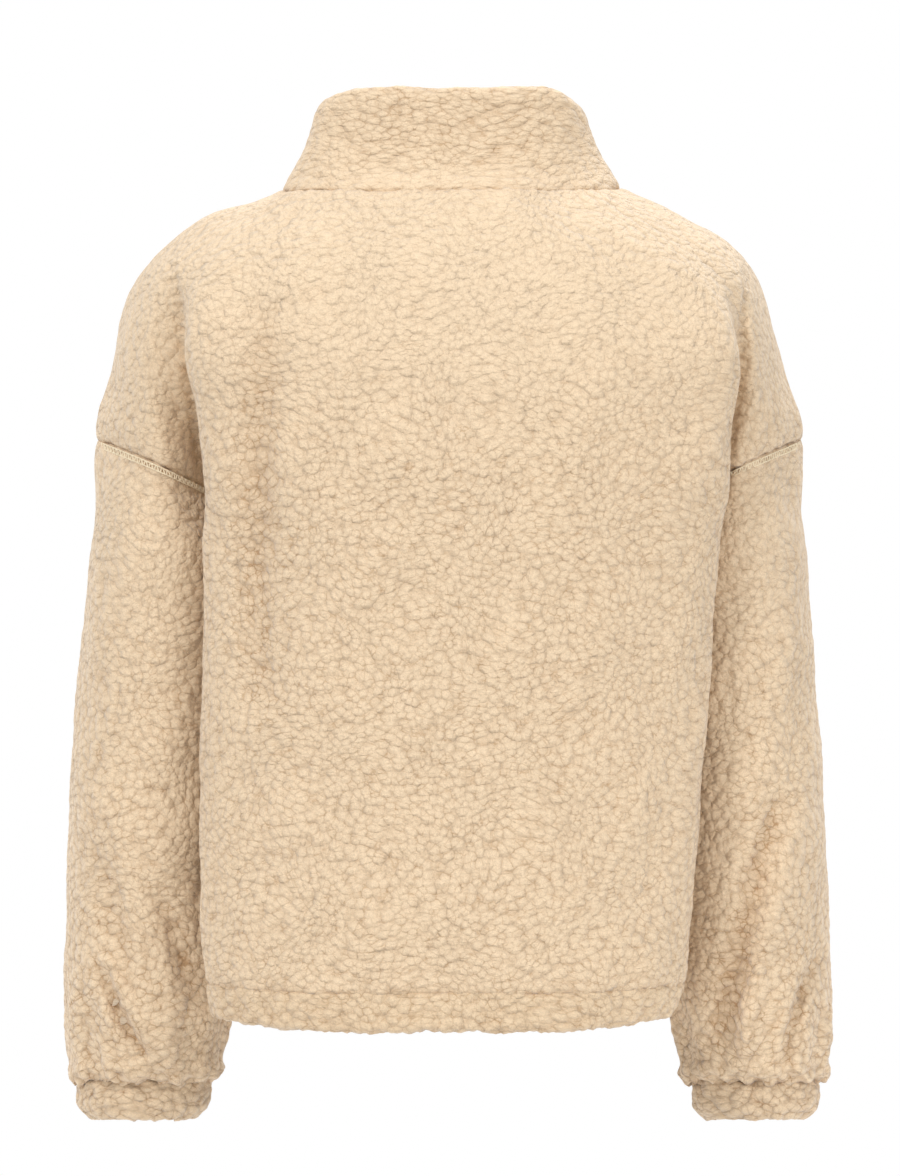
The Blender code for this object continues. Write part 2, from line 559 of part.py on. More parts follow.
def build_slider(path, jacket, cutters):
    """The slider at the top of the teeth, its bail, and the pull tab that swings on the bail."""
    metal = material("zip_metal", METAL_COLOUR, 0.35, 1.0)
    frame = zip_frame(path, TAPE_END + NOTCH_LENGTH)
    plate_low = TEETH_THICKNESS / 2 + SEAM_GAP
    plate_top = plate_low + SLIDER_PLATE
    half = SLIDER_LENGTH / 2
    w = SLIDER_HALF_WIDTH
    front = block("zip_slider", (-w, plate_low, -half), (w, plate_top, half), jacket)
    rear = block("slider_rear", (-w, -plate_top, -half), (w, -plate_low, half), cutters)
    post_z = -NOTCH_LENGTH + 0.0025
    p = POST_HALF_WIDTH
    post = block("slider_post", (-p, -plate_top + 0.0004, post_z), (p, plate_top - 0.0004, -0.0010), cutters)
    b = BAIL_HALF_WIDTH
    span = BAIL_SPAN / 2
    crown = plate_top + BAIL_CLEARANCE
    sunk = plate_top - 0.0004
    inset = 0.0001
    legs = [
        block("bail_top", (-b, sunk, -span), (b, crown + BAIL_BAR, -span + BAIL_BAR), cutters),
        block("bail_foot", (-b, sunk, span - BAIL_BAR), (b, crown + BAIL_BAR, span), cutters),
        block("bail_crown", (-b, crown, inset - span), (b, crown + BAIL_BAR - inset, span - inset), cutters),
    ]
    join_shapes(front, [rear, post] + legs, frame, metal)

    axle_y = plate_top + BAIL_CLEARANCE / 2
    swing = frame @ Matrix.Translation((0, axle_y, 0))
    t = PULL_THICKNESS / 2
    arm_in = BAIL_HALF_WIDTH + 0.0005
    arm_out = arm_in + 0.0011
    tab_start = span + 0.0016
    tab_end = PULL_LENGTH - PULL_HALF_WIDTH
    tab = block("zip_pull", (-PULL_HALF_WIDTH, -t, tab_start), (PULL_HALF_WIDTH, t, tab_end), jacket)
    parts = [rod("pull_axle", t * 0.96, (-arm_out + 0.0001, 0, 0), (arm_out - 0.0001, 0, 0), cutters)]
    for side in (-1, 1):
        near, far = sorted((side * arm_in, side * arm_out))
        low = (near, -t + 0.00005, -t)
        high = (far, t - 0.00005, tab_start + 0.0006)
        parts.append(block(f"pull_arm_{side}", low, high, cutters))
    flush = t - 0.00003
    round_end = rod("pull_end", PULL_HALF_WIDTH, (0, -flush, tab_end), (0, flush, tab_end), cutters)
    join_shapes(tab, parts + [round_end], swing, metal)


def build_box(path, collection):
    """The box at the foot of the zip, between the two tapes."""
    foot = np.linalg.norm(np.diff(path, axis=0), axis=1).sum() - TAPE_END
    frame = zip_frame(path, foot - BOX_LENGTH / 2)
    half = BOX_LENGTH / 2 - 0.0008
    thick = TEETH_THICKNESS / 2 + 0.0004
    box = block("zip_box", (-BOX_HALF_WIDTH, -thick, -half), (BOX_HALF_WIDTH, thick, half), collection)
    join_shapes(box, [], frame, material("zip_box_metal", METAL_COLOUR, 0.35, 1.0))


jacket, cutters = start_scene()
cloth, centre_front = lay_out_cloth()
build_cloth(cloth, jacket)
for side, name in ((1, "left"), (-1, "right")):
    build_tape("zip_tape_" + name, side, centre_front, jacket)
build_slider(centre_front, jacket, cutters)
build_box(centre_front, jacket)
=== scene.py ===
import math
from collections import namedtuple

import bpy
import numpy as np
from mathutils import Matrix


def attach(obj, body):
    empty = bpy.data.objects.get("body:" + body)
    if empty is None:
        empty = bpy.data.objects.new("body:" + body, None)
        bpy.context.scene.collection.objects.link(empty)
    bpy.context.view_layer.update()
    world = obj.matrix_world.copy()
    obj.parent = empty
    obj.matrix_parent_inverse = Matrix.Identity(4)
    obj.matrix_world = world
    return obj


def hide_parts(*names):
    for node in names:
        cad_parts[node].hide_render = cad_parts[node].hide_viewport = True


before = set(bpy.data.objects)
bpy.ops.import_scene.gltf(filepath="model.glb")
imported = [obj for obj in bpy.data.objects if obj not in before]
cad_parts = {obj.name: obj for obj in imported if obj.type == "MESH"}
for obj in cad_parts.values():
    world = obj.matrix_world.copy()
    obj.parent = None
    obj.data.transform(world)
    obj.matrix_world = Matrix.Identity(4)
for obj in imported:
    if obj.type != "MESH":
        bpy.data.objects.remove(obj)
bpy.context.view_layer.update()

# The back panel. One piece of sherpa, a knit whose pile is brushed up and tumbled into crumbs, cut with
# its shoulders and sewn to the fronts along the shoulders and sides. It hangs filled out from the neck.

# Sections of the shoulders, from the neck seam down to the armhole seam: the ridge, the back, the front
Ridge = namedtuple("Ridge", "left right y z")
RIDGE = [
    Ridge(0.1145, 0.1145, 0.000, 0.000),
    Ridge(0.132, 0.131, -0.001, -0.007),
    Ridge(0.168, 0.163, -0.004, -0.020),
    Ridge(0.203, 0.200, -0.008, -0.046),
    Ridge(0.2235, 0.217, -0.012, -0.082),
    Ridge(0.2315, 0.2265, -0.014, -0.125),
    Ridge(0.2395, 0.2375, -0.016, -0.170),
]
BackYoke = namedtuple(
    "BackYoke", "z y fold_left fold_right fold_y crease_left crease_right crease_y crease_z arm_x arm_y"
)
BACK_YOKE = [
    BackYoke(0.000, 0.066, 0.090, 0.090, 0.041, 0.104, 0.104, 0.028, 0.000, 0.111, 0.016),
    BackYoke(-0.018, 0.081, 0.106, 0.106, 0.056, 0.118, 0.118, 0.042, -0.012, 0.127, 0.023),
    BackYoke(-0.042, 0.095, 0.132, 0.132, 0.071, 0.147, 0.147, 0.054, -0.032, 0.160, 0.030),
    BackYoke(-0.075, 0.106, 0.168, 0.170, 0.076, 0.181, 0.183, 0.056, -0.062, 0.194, 0.036),
    BackYoke(-0.112, 0.114, 0.1775, 0.193, 0.079, 0.180, 0.193, 0.050, -0.100, 0.206, 0.041),
    BackYoke(-0.156, 0.119, 0.170, 0.191, 0.073, 0.168, 0.182, 0.034, -0.150, 0.206, 0.042),
    BackYoke(-0.205, 0.120, 0.1665, 0.187, 0.065, 0.149, 0.149, -0.014, -0.212, 0.197, 0.037),
]
FrontYoke = namedtuple("FrontYoke", "z y chest_x chest_y crease_x crease_y crease_z arm_x arm_y")
FRONT_YOKE = [
    FrontYoke(-0.072, -0.080, 0.085, -0.050, 0.102, -0.034, -0.020, 0.111, -0.017),
    FrontYoke(-0.084, -0.090, 0.101, -0.062, 0.118, -0.042, -0.028, 0.128, -0.021),
    FrontYoke(-0.099, -0.101, 0.124, -0.077, 0.145, -0.054, -0.045, 0.160, -0.029),
    FrontYoke(-0.119, -0.111, 0.143, -0.090, 0.168, -0.063, -0.068, 0.190, -0.044),
    FrontYoke(-0.144, -0.119, 0.151, -0.098, 0.173, -0.068, -0.102, 0.205, -0.063),
    FrontYoke(-0.174, -0.125, 0.149, -0.101, 0.162, -0.062, -0.148, 0.206, -0.076),
    FrontYoke(-0.205, -0.129, 0.140, -0.100, 0.149, -0.014, -0.212, 0.197, -0.080),
]
# Sections of the trunk from the chest to the hem, whose last two are the hem's stitching and its edge
Trunk = namedtuple(
    "Trunk", "z back_y fold_left fold_right fold_y side_x side_y chest_x chest_y front_y lift"
)
TRUNK = [
    Trunk(-0.240, 0.119, 0.166, 0.182, 0.056, 0.138, -0.018, 0.135, -0.096, -0.130, 0.000),
    Trunk(-0.330, 0.114, 0.1685, 0.1755, 0.048, 0.1355, -0.022, 0.133, -0.092, -0.129, 0.000),
    Trunk(-0.430, 0.108, 0.170, 0.1675, 0.042, 0.1345, -0.024, 0.132, -0.089, -0.126, 0.000),
    Trunk(-0.500, 0.104, 0.169, 0.162, 0.038, 0.135, -0.024, 0.132, -0.086, -0.122, 0.002),
    Trunk(-0.5445, 0.101, 0.1665, 0.158, 0.036, 0.1345, -0.024, 0.131, -0.083, -0.119, 0.010),
    Trunk(-0.571, 0.097, 0.1615, 0.149, 0.033, 0.130, -0.022, 0.127, -0.079, -0.114, 0.015),
]
# Rings of the sleeves and cuffs
Sleeve = namedtuple("Sleeve", "z outer_left outer_right inner centre_y half_depth tilt")
SLEEVE = [
    Sleeve(-0.235, 0.2425, 0.2395, 0.152, -0.022, 0.060, 0.020),
    Sleeve(-0.300, 0.2505, 0.2450, 0.145, -0.032, 0.062, 0.008),
    Sleeve(-0.380, 0.2580, 0.2520, 0.144, -0.040, 0.063, 0.000),
    Sleeve(-0.460, 0.2620, 0.2565, 0.145, -0.047, 0.062, 0.000),
    Sleeve(-0.530, 0.2635, 0.2590, 0.147, -0.053, 0.060, 0.000),
    Sleeve(-0.575, 0.2635, 0.2605, 0.154, -0.056, 0.055, 0.000),
    Sleeve(-0.597, 0.2585, 0.2555, 0.159, -0.057, 0.046, 0.000),
    Sleeve(-0.604, 0.2545, 0.2500, 0.1635, -0.057, 0.036, 0.000),
]
CUFF = [
    Sleeve(-0.612, 0.2560, 0.2510, 0.1630, -0.057, 0.037, 0.000),
    Sleeve(-0.624, 0.2550, 0.2500, 0.1645, -0.057, 0.0355, 0.000),
    Sleeve(-0.6345, 0.2435, 0.2390, 0.1750, -0.057, 0.029, 0.000),
]
# Troughs in the cloth, seen from behind (+1) or from the front (-1), each through three points. A negative
# depth is a ridge beside a trough.
Fold = namedtuple("Fold", "facing x_top z_top x_middle z_middle x_foot z_foot depth width")
FOLDS = [
    Fold(1, 0.126, -0.090, 0.134, -0.210, 0.131, -0.340, 0.0078, 0.015),
    Fold(1, 0.1905, -0.054, 0.1785, -0.122, 0.1690, -0.190, 0.0040, 0.0036),
    Fold(1, -0.2030, -0.048, -0.1965, -0.115, -0.1880, -0.190, 0.0036, 0.0036),
    Fold(1, -0.215, -0.085, -0.219, -0.110, -0.219, -0.140, 0.0035, 0.010),
    Fold(1, 0.241, -0.440, 0.232, -0.487, 0.218, -0.556, 0.0045, 0.009),
    Fold(1, 0.238, -0.530, 0.226, -0.560, 0.211, -0.586, 0.0082, 0.0046),
    Fold(1, 0.2325, -0.525, 0.2195, -0.554, 0.2045, -0.582, -0.0060, 0.0055),
    Fold(1, 0.252, -0.545, 0.240, -0.566, 0.231, -0.585, 0.0030, 0.0040),
    Fold(1, 0.196, -0.480, 0.184, -0.520, 0.170, -0.552, 0.0060, 0.0075),
    Fold(1, -0.2215, -0.420, -0.2010, -0.494, -0.1820, -0.577, 0.0098, 0.0098),
    Fold(1, -0.2330, -0.432, -0.2140, -0.502, -0.2000, -0.576, -0.0045, 0.0075),
    Fold(1, -0.252, -0.520, -0.238, -0.556, -0.229, -0.590, 0.0080, 0.0050),
    Fold(-1, 0.120, -0.120, 0.112, -0.200, 0.096, -0.290, 0.0050, 0.014),
    Fold(-1, -0.124, -0.130, -0.113, -0.220, -0.100, -0.320, 0.0050, 0.014),
    Fold(-1, 0.222, -0.200, 0.206, -0.245, 0.188, -0.280, 0.0060, 0.012),
    Fold(-1, -0.224, -0.210, -0.205, -0.262, -0.184, -0.300, 0.0060, 0.012),
    Fold(-1, 0.236, -0.500, 0.218, -0.535, 0.202, -0.575, 0.0060, 0.010),
    Fold(-1, -0.194, -0.470, -0.205, -0.520, -0.222, -0.572, 0.0065, 0.010),
]
# Shares and drops that place the points between those of the tables
BLADE_SHARE = 0.56
BLADE_DROP = 0.16
CHEST_SHARE = 0.50
CHEST_DROP = 0.12
ARM_SHARE = 0.42
FRONT_EDGE = 0.0075  # half the gap between the fronts, where the zip shows
CLOTH = 0.005
SEAM_LAP = 0.0009  # the pile of both pieces closes over a seam by this much
SEAM_DEPTH = 0.0021
SEAM_WIDTH = 0.0024
EDGE_UNEVEN = 0.0006  # the height of the waves along a folded edge
SLACK = 0.0006  # the height of slow waves in the hanging cloth
COARSE = 4  # cells of the outside for each cell of the inside
CRUMB_BEND = 0.32
CRUMB_FALL = 2.6  # how steeply a crumb falls off from its middle
CRUMB_MEAN = 0.62  # the share of a crumb's height that lies on the sewn surface
GATHERS = 9
FINE_GATHERS = 14
GATHERS_TOP = -0.535
GATHER_DEPTH = 0.0022


def unit(vectors):
    """Each vector at a length of one."""
    return vectors / np.maximum(np.linalg.norm(vectors, axis=-1, keepdims=True), 1e-12)


def run_down(rows):
    """The length run from the first of the rows of points to each of them."""
    run = np.linalg.norm(np.diff(rows, axis=0), axis=-1).cumsum(axis=0)
    return np.concatenate([np.zeros_like(run[:1]), run])


def side_by_side(halves):
    """The left and right halves of a grid as one, with the centre column that they share once."""
    left, right = halves
    return np.concatenate([left[:, ::-1], right[:, 1:]], axis=1)


def in_scene(name, data):
    """A new object of a mesh, lamp or camera, put into the scene at the origin."""
    made = bpy.data.objects.new(name, data)
    bpy.context.scene.collection.objects.link(made)
    return made


def smooth(rows, steps):
    """Cubic curves down each column of points with Catmull-Rom slopes, steps[i] cells in span i."""
    rows = np.asarray(rows, float)
    padded = np.concatenate([(2 * rows[0] - rows[1])[None], rows, (2 * rows[-1] - rows[-2])[None]])
    gaps = np.sqrt(np.linalg.norm(np.diff(padded, axis=0), axis=-1, keepdims=True)) + 1e-6
    slopes = np.diff(padded, axis=0) / gaps
    tangents = slopes[:-1] - (padded[2:] - padded[:-2]) / (gaps[1:] + gaps[:-1]) + slopes[1:]
    made = []
    for i, count in enumerate(steps):
        t = (np.arange(count) / count).reshape((-1,) + (1,) * (rows.ndim - 1))
        span = gaps[i + 1]
        made.append(
            (2 * t**3 - 3 * t**2 + 1) * rows[i]
            + (t**3 - 2 * t**2 + t) * span * tangents[i]
            + (3 * t**2 - 2 * t**3) * rows[i + 1]
            + (t**3 - t**2) * span * tangents[i + 1]
        )
    return np.concatenate(made + [rows[-1:]])


def half_section(points, steps, side):
    """A smooth curve through key points that runs on into its mirror image at both ends."""
    points = [np.array(p, float) for p in points]
    mirror = np.array([-1.0, 1.0, 1.0])
    keys = [points[1] * mirror] + points + [points[-2] * mirror]
    return smooth(keys, (1,) + tuple(steps) + (1,))[1:-1] * (side, 1, 1)


def yoke_section(ridge, back, front, side, steps):
    """One section of a shoulder, from the centre back over the arm to the front edge."""
    fold_x = back.fold_left if side > 0 else back.fold_right
    crease_x = back.crease_left if side > 0 else back.crease_right
    ridge_x = ridge.left if side > 0 else ridge.right
    chest_z = 0.5 * (front.z + front.crease_z)
    breast_y = front.y - CHEST_DROP * (front.y - front.chest_y)
    points = [
        (0, back.y, back.z),
        (BLADE_SHARE * fold_x, back.y - BLADE_DROP * (back.y - back.fold_y), back.z),
        (fold_x, back.fold_y, 0.7 * back.z + 0.3 * back.crease_z),
        (crease_x, back.crease_y, back.crease_z),
        (back.arm_x, back.arm_y, ARM_SHARE * back.crease_z + (1 - ARM_SHARE) * ridge.z),
        (ridge_x, ridge.y, ridge.z),
        (front.arm_x, front.arm_y, ARM_SHARE * front.crease_z + (1 - ARM_SHARE) * ridge.z),
        (front.crease_x, front.crease_y, front.crease_z),
        (front.chest_x, front.chest_y, chest_z),
        (CHEST_SHARE * front.chest_x, breast_y, 0.8 * front.z + 0.2 * chest_z),
        (FRONT_EDGE, front.y, front.z),
    ]
    return half_section(points, steps, side)


def trunk_section(row, side, steps):
    """Half a section of the trunk from the centre back to the front edge, lifted at the side."""
    fold_x = row.fold_left if side > 0 else row.fold_right
    breast_y = row.front_y - CHEST_DROP * (row.front_y - row.chest_y)
    points = [
        (0, row.back_y, row.z),
        (BLADE_SHARE * fold_x, row.back_y - BLADE_DROP * (row.back_y - row.fold_y), row.z),
        (fold_x, row.fold_y, row.z + 0.55 * row.lift),
        (row.side_x, row.side_y, row.z + row.lift),
        (row.chest_x, row.chest_y, row.z + 0.7 * row.lift),
        (CHEST_SHARE * row.chest_x, breast_y, row.z + 0.2 * row.lift),
        (FRONT_EDGE, row.front_y, row.z + 0.1 * row.lift),
    ]
    return half_section(points, steps, side)


def sleeve_ring(row, side, count):
    """An ellipse from the inner seam round the back, the outer side and the front."""
    outer = row.outer_left if side > 0 else row.outer_right
    turn = np.arange(count + 1) * 2 * math.pi / count
    x = 0.5 * (outer + row.inner) - 0.5 * (outer - row.inner) * np.cos(turn)
    y = row.centre_y + row.half_depth * np.sin(turn)
    z = row.z - 0.5 * row.tilt * np.cos(turn)
    return np.stack([side * x, y, z], axis=-1)


def gathered(rings, side):
    """Waves round the sleeve, a sum of two cosines, that grow towards the cuff seam and die out on it."""
    growth = np.clip((GATHERS_TOP - rings[..., 2]) / (GATHERS_TOP - SLEEVE[-1].z), 0, 1)
    centre = rings[:, :-1].mean(axis=1, keepdims=True)
    outward = unit((rings - centre) * (1, 1, 0))
    turn = np.arange(rings.shape[1]) * 2 * math.pi / (rings.shape[1] - 1)
    wave = np.cos(GATHERS * turn + side * 0.7) + 0.35 * np.cos(FINE_GATHERS * turn + 1.9 * side)
    return rings + outward * (GATHER_DEPTH * np.sin(math.pi * growth**1.4) * wave[None])[..., None]


def half_jacket(side, back, arm, front, yoke, lower, sleeve=(1,) * 8, cuff=(1,) * 3):
    """Grids of points of one half: trunk, shoulder and arm, with the cells given for each span of each."""
    columns = back + arm + front
    first = sum(back)
    last = first + sum(arm)
    yoke_keys = np.array([yoke_section(*rows, side, columns) for rows in zip(RIDGE, BACK_YOKE, FRONT_YOKE)])
    trunk_keys = np.array([trunk_section(row, side, back + front) for row in TRUNK])
    arm_keys = np.array([sleeve_ring(row, side, sum(arm)) for row in SLEEVE + CUFF])
    trunk_from_yoke = np.delete(yoke_keys, np.s_[first + 1 : last + 1], axis=1)
    trunk = smooth(np.concatenate([trunk_from_yoke, trunk_keys]), yoke + lower)
    arm_from_yoke = yoke_keys[:, first : last + 1]
    limb = smooth(np.concatenate([arm_from_yoke, arm_keys]), yoke + sleeve + cuff)
    shoulder = smooth(yoke_keys, yoke)
    rows = sum(yoke)
    shoulder[:, : first + 1] = trunk[: rows + 1, : first + 1]
    shoulder[:, last + 1 :] = trunk[: rows + 1, first + 1 :]
    shoulder[:, first + 1 : last] = limb[: rows + 1, 1:-1]
    shoulder[-1, last] = shoulder[-1, first]
    limb[rows:, 0] = limb[rows:, -1] = 0.5 * (limb[rows:, 0] + limb[rows:, -1])
    limb[rows:] = gathered(limb[rows:], side)
    limb[rows, [0, -1]] = shoulder[-1, first]
    return trunk, shoulder, limb[rows:]


def cells(rows, columns, ring=False, missing=None):
    """Corner indices of the squares of a grid of points. A ring closes on itself."""
    r, c = np.meshgrid(np.arange(rows - 1), np.arange(columns if ring else columns - 1), indexing="ij")
    if missing is not None:
        r, c = r[~missing], c[~missing]
    r, c = r.reshape(-1), c.reshape(-1)
    n = (c + 1) % columns
    row, next_row = r * columns, (r + 1) * columns
    return np.stack([row + c, next_row + c, next_row + n, row + n], axis=-1)


def sums_at(index, values, count):
    """Adds up the rows of values that fall on each index."""
    return np.stack([np.bincount(index, values[:, k], count) for k in range(3)], axis=-1)


def outward_of(points, squares):
    """The mean of the normals of the squares round each point."""
    corner = points[squares]
    face = np.cross(corner[:, 2] - corner[:, 0], corner[:, 3] - corner[:, 1])
    return unit(sums_at(squares.T.reshape(-1), np.tile(face, (4, 1)), len(points)))


def border_of(squares):
    """The directed edges that only one square has."""
    edges = np.concatenate([squares[:, [k, (k + 1) % 4]] for k in range(4)])
    _, index, count = np.unique(np.sort(edges, axis=1), axis=0, return_inverse=True, return_counts=True)
    return edges[count[index.reshape(-1)] == 1]


def distance_to(points, marks):
    """How far each point is from the nearest mark, by expanding the square of their difference."""
    square = (marks**2).sum(axis=1)
    nearest = []
    for part in np.array_split(points, max(1, len(points) // 4000)):
        nearest.append((part**2).sum(axis=1) + (square - 2 * part @ marks.T).min(axis=1))
    return np.sqrt(np.maximum(np.concatenate(nearest), 0))


def trough_depth(points, normals):
    """Each fold's bell-shaped trough across its path, fading out at both ends and on faces turned away."""
    depth = np.zeros(len(points))
    for fold in FOLDS:
        corners = [(fold.x_top, fold.z_top), (fold.x_middle, fold.z_middle), (fold.x_foot, fold.z_foot)]
        path = smooth(np.array(corners), (8, 8))
        distance = np.linalg.norm(points[:, None, [0, 2]] - path[None], axis=-1)
        along = distance.argmin(axis=1) / (len(path) - 1)
        fade = np.sin(math.pi * (0.08 + 0.84 * along)) ** 0.5
        facing = np.clip(normals[:, 1] * fold.facing * 1.6, 0, 1)
        depth += fold.depth * fade * facing * np.exp(-((distance.min(axis=1) / fold.width) ** 2))
    return depth


def waves_through(points, count, shortest, longest, seed):
    """A sum of sine waves in random directions and lengths, of about unit size."""
    random = np.random.default_rng(seed)
    direction = unit(random.normal(size=(count, 3)))
    length = np.exp(random.uniform(math.log(shortest), math.log(longest), count))
    phase = random.uniform(0, 2 * math.pi, count)
    turns = points @ (direction * 2 * math.pi / length[:, None]).T + phase
    return np.sin(turns).sum(axis=1) * math.sqrt(2 / count)


def crumb_places(points, width, height):
    """Where each point lies in the pile, counted in crumbs: its place over a crumb's size, bent a little."""
    bent = np.stack([waves_through(points, 9, 0.045, 0.120, seed) for seed in (11, 12, 13)], axis=-1)
    return points / (width, width, height) + CRUMB_BEND * bent


def crumb_middles(places):
    """How far each place is from the middle of its crumb, read from the same cell pattern as the finish."""
    tree = bpy.data.node_groups.new("crumb_reader", "GeometryNodeTree")
    tree.interface.new_socket("Geometry", in_out="INPUT", socket_type="NodeSocketGeometry")
    tree.interface.new_socket("Geometry", in_out="OUTPUT", socket_type="NodeSocketGeometry")
    cloth_in = tree.nodes.new("NodeGroupInput")
    cloth_out = tree.nodes.new("NodeGroupOutput")
    pattern = tree.nodes.new("ShaderNodeTexVoronoi")
    pattern.inputs["Scale"].default_value = 1.0
    place = tree.nodes.new("GeometryNodeInputPosition")
    store = tree.nodes.new("GeometryNodeStoreNamedAttribute")
    store.inputs["Name"].default_value = "middle"
    tree.links.new(place.outputs[0], pattern.inputs["Vector"])
    tree.links.new(cloth_in.outputs[0], store.inputs["Geometry"])
    tree.links.new(pattern.outputs["Distance"], store.inputs["Value"])
    tree.links.new(store.outputs["Geometry"], cloth_out.inputs[0])
    mesh = bpy.data.meshes.new("crumb_probe")
    mesh.vertices.add(len(places))
    mesh.vertices.foreach_set("co", places.astype(np.float32).reshape(-1))
    probe = in_scene("crumb_probe", mesh)
    probe.modifiers.new("read", "NODES").node_group = tree
    read = probe.evaluated_get(bpy.context.evaluated_depsgraph_get()).data
    middle = np.empty(len(places), np.float32)
    read.attributes["middle"].data.foreach_get("value", middle)
    bpy.data.objects.remove(probe)
    bpy.data.meshes.remove(mesh)
    bpy.data.node_groups.remove(tree)
    return middle.astype(float)


def step_up(value, low, high):
    """Rises softly from 0 at low to 1 at high."""
    t = np.clip((value - low) / (high - low), 0, 1)
    return t * t * (3 - 2 * t)


def softened(values, squares):
    """Each point's value averaged with those of the corners of the squares round it."""
    mean = values[squares].mean(axis=1)
    index = squares.T.reshape(-1)
    total = np.bincount(index, np.tile(mean, 4), len(values))
    return total / np.maximum(np.bincount(index, minlength=len(values)), 1)


def lapped(points, normals, squares, rim):
    """The border moved along the surface, away from the middles of the squares beside it, by the lap."""
    middle = points[squares].mean(axis=1)
    index = squares.T.reshape(-1)
    pull = sums_at(index, np.tile(middle, (4, 1)) - points[index], len(points))[rim]
    pull -= (pull * normals[rim]).sum(axis=1, keepdims=True) * normals[rim]
    points = points.copy()
    points[rim] -= unit(pull) * SEAM_LAP
    return points


def turned_back(points, normals, columns, folded, half):
    """The two faces of double cloth, each as its points and the ways out of it.

    Both lie half the thickness off the middle layer and meet along the folded row in a half round. There
    near rises from 0 to 1, the distance off the layer shrinks as the root of 1 less the square of near, and
    the way out turns towards the fold by near. Waves along the folded edge make it uneven.
    """
    rows = len(points) // columns
    step = points.reshape(rows, columns, 3)
    onward = np.tile(unit(step[folded] - step[1 if folded == 0 else -2]), (rows, 1))
    order = slice(None) if folded == 0 else slice(None, None, -1)
    from_fold = run_down(step[order])[order].reshape(-1)
    near = 1 - np.clip(from_fold / (1.25 * half), 0, 1)
    across = np.sqrt(1 - near**2)
    uneven = EDGE_UNEVEN * near * waves_through(points, 14, 0.005, 0.018, 43)
    centre = points - normals * half + onward * uneven[:, None]
    sides = []
    for face in (1, -1):
        lean = face * normals * across[:, None] + onward * near[:, None]
        body = centre + face * normals * (half * np.maximum(across, 0.06))[:, None]
        sides.append((body, lean))
    return sides


def rim_triangles(in_squares, in_columns, columns, coarse, ring, count):
    """Triangles between the border of the outside, of count points, and the coarser one of the inside.

    Each inner border edge stands over as many outer ones as coarse says. The first half of these fan out
    from its start, the others from its end, and one more triangle closes the gap between the two fans.
    """
    in_border = border_of(in_squares)
    start_row, start_column = in_border[:, 0] // in_columns, in_border[:, 0] % in_columns
    down = in_border[:, 1] // in_columns - start_row
    over = in_border[:, 1] % in_columns - start_column
    if ring:
        over = (over + 1) % in_columns - 1
    k = np.arange(coarse + 1)
    chain_row = start_row[:, None] * coarse + down[:, None] * k
    chain_column = (start_column[:, None] * coarse + over[:, None] * k) % columns
    chain = chain_row * columns + chain_column
    start, end = in_border.T + count
    half_way = coarse // 2
    anchor = np.where(k[:-1] < half_way, start[:, None], end[:, None])
    fans = np.stack([chain[:, 1:], chain[:, :-1], anchor], axis=-1).reshape(-1, 3)
    bridges = np.stack([chain[:, half_way], start, end], axis=-1)
    return np.concatenate([fans, bridges])


def cloth_object(name, points, quads, triangles, backed, finishes, facts):
    """A smooth-shaded object of the points in use, with the facts that its finishes read at each point.

    Backed counts the squares at the end of quads that show the second finish.
    """
    keep = np.unique(np.concatenate([quads.reshape(-1), triangles.reshape(-1)]))
    slot = np.zeros(len(points), int)
    slot[keep] = np.arange(len(keep))
    corners = np.concatenate([slot[quads].reshape(-1), slot[triangles].reshape(-1)])
    starts = np.concatenate([np.arange(len(quads)) * 4, len(quads) * 4 + np.arange(len(triangles)) * 3])
    second = np.zeros(len(starts), np.int32)
    second[len(quads) - backed : len(quads)] = 1
    mesh = bpy.data.meshes.new(name)
    mesh.vertices.add(len(keep))
    mesh.vertices.foreach_set("co", points[keep].astype(np.float32).reshape(-1))
    mesh.loops.add(len(corners))
    mesh.loops.foreach_set("vertex_index", corners.astype(np.int32))
    mesh.polygons.add(len(starts))
    mesh.polygons.foreach_set("loop_start", starts.astype(np.int32))
    mesh.polygons.foreach_set("material_index", second)
    mesh.polygons.foreach_set("use_smooth", np.ones(len(starts), bool))
    for finish in finishes:
        mesh.materials.append(finish)
    for fact, values in facts.items():
        kind, part = ("FLOAT", "value") if values.ndim == 1 else ("FLOAT_VECTOR", "vector")
        stored = mesh.attributes.new(fact, kind, "POINT")
        stored.data.foreach_set(part, values[keep].astype(np.float32).reshape(-1))
    mesh.update()
    mesh.validate()
    return in_scene(name, mesh)


Pile = namedtuple("Pile", "width height depth")


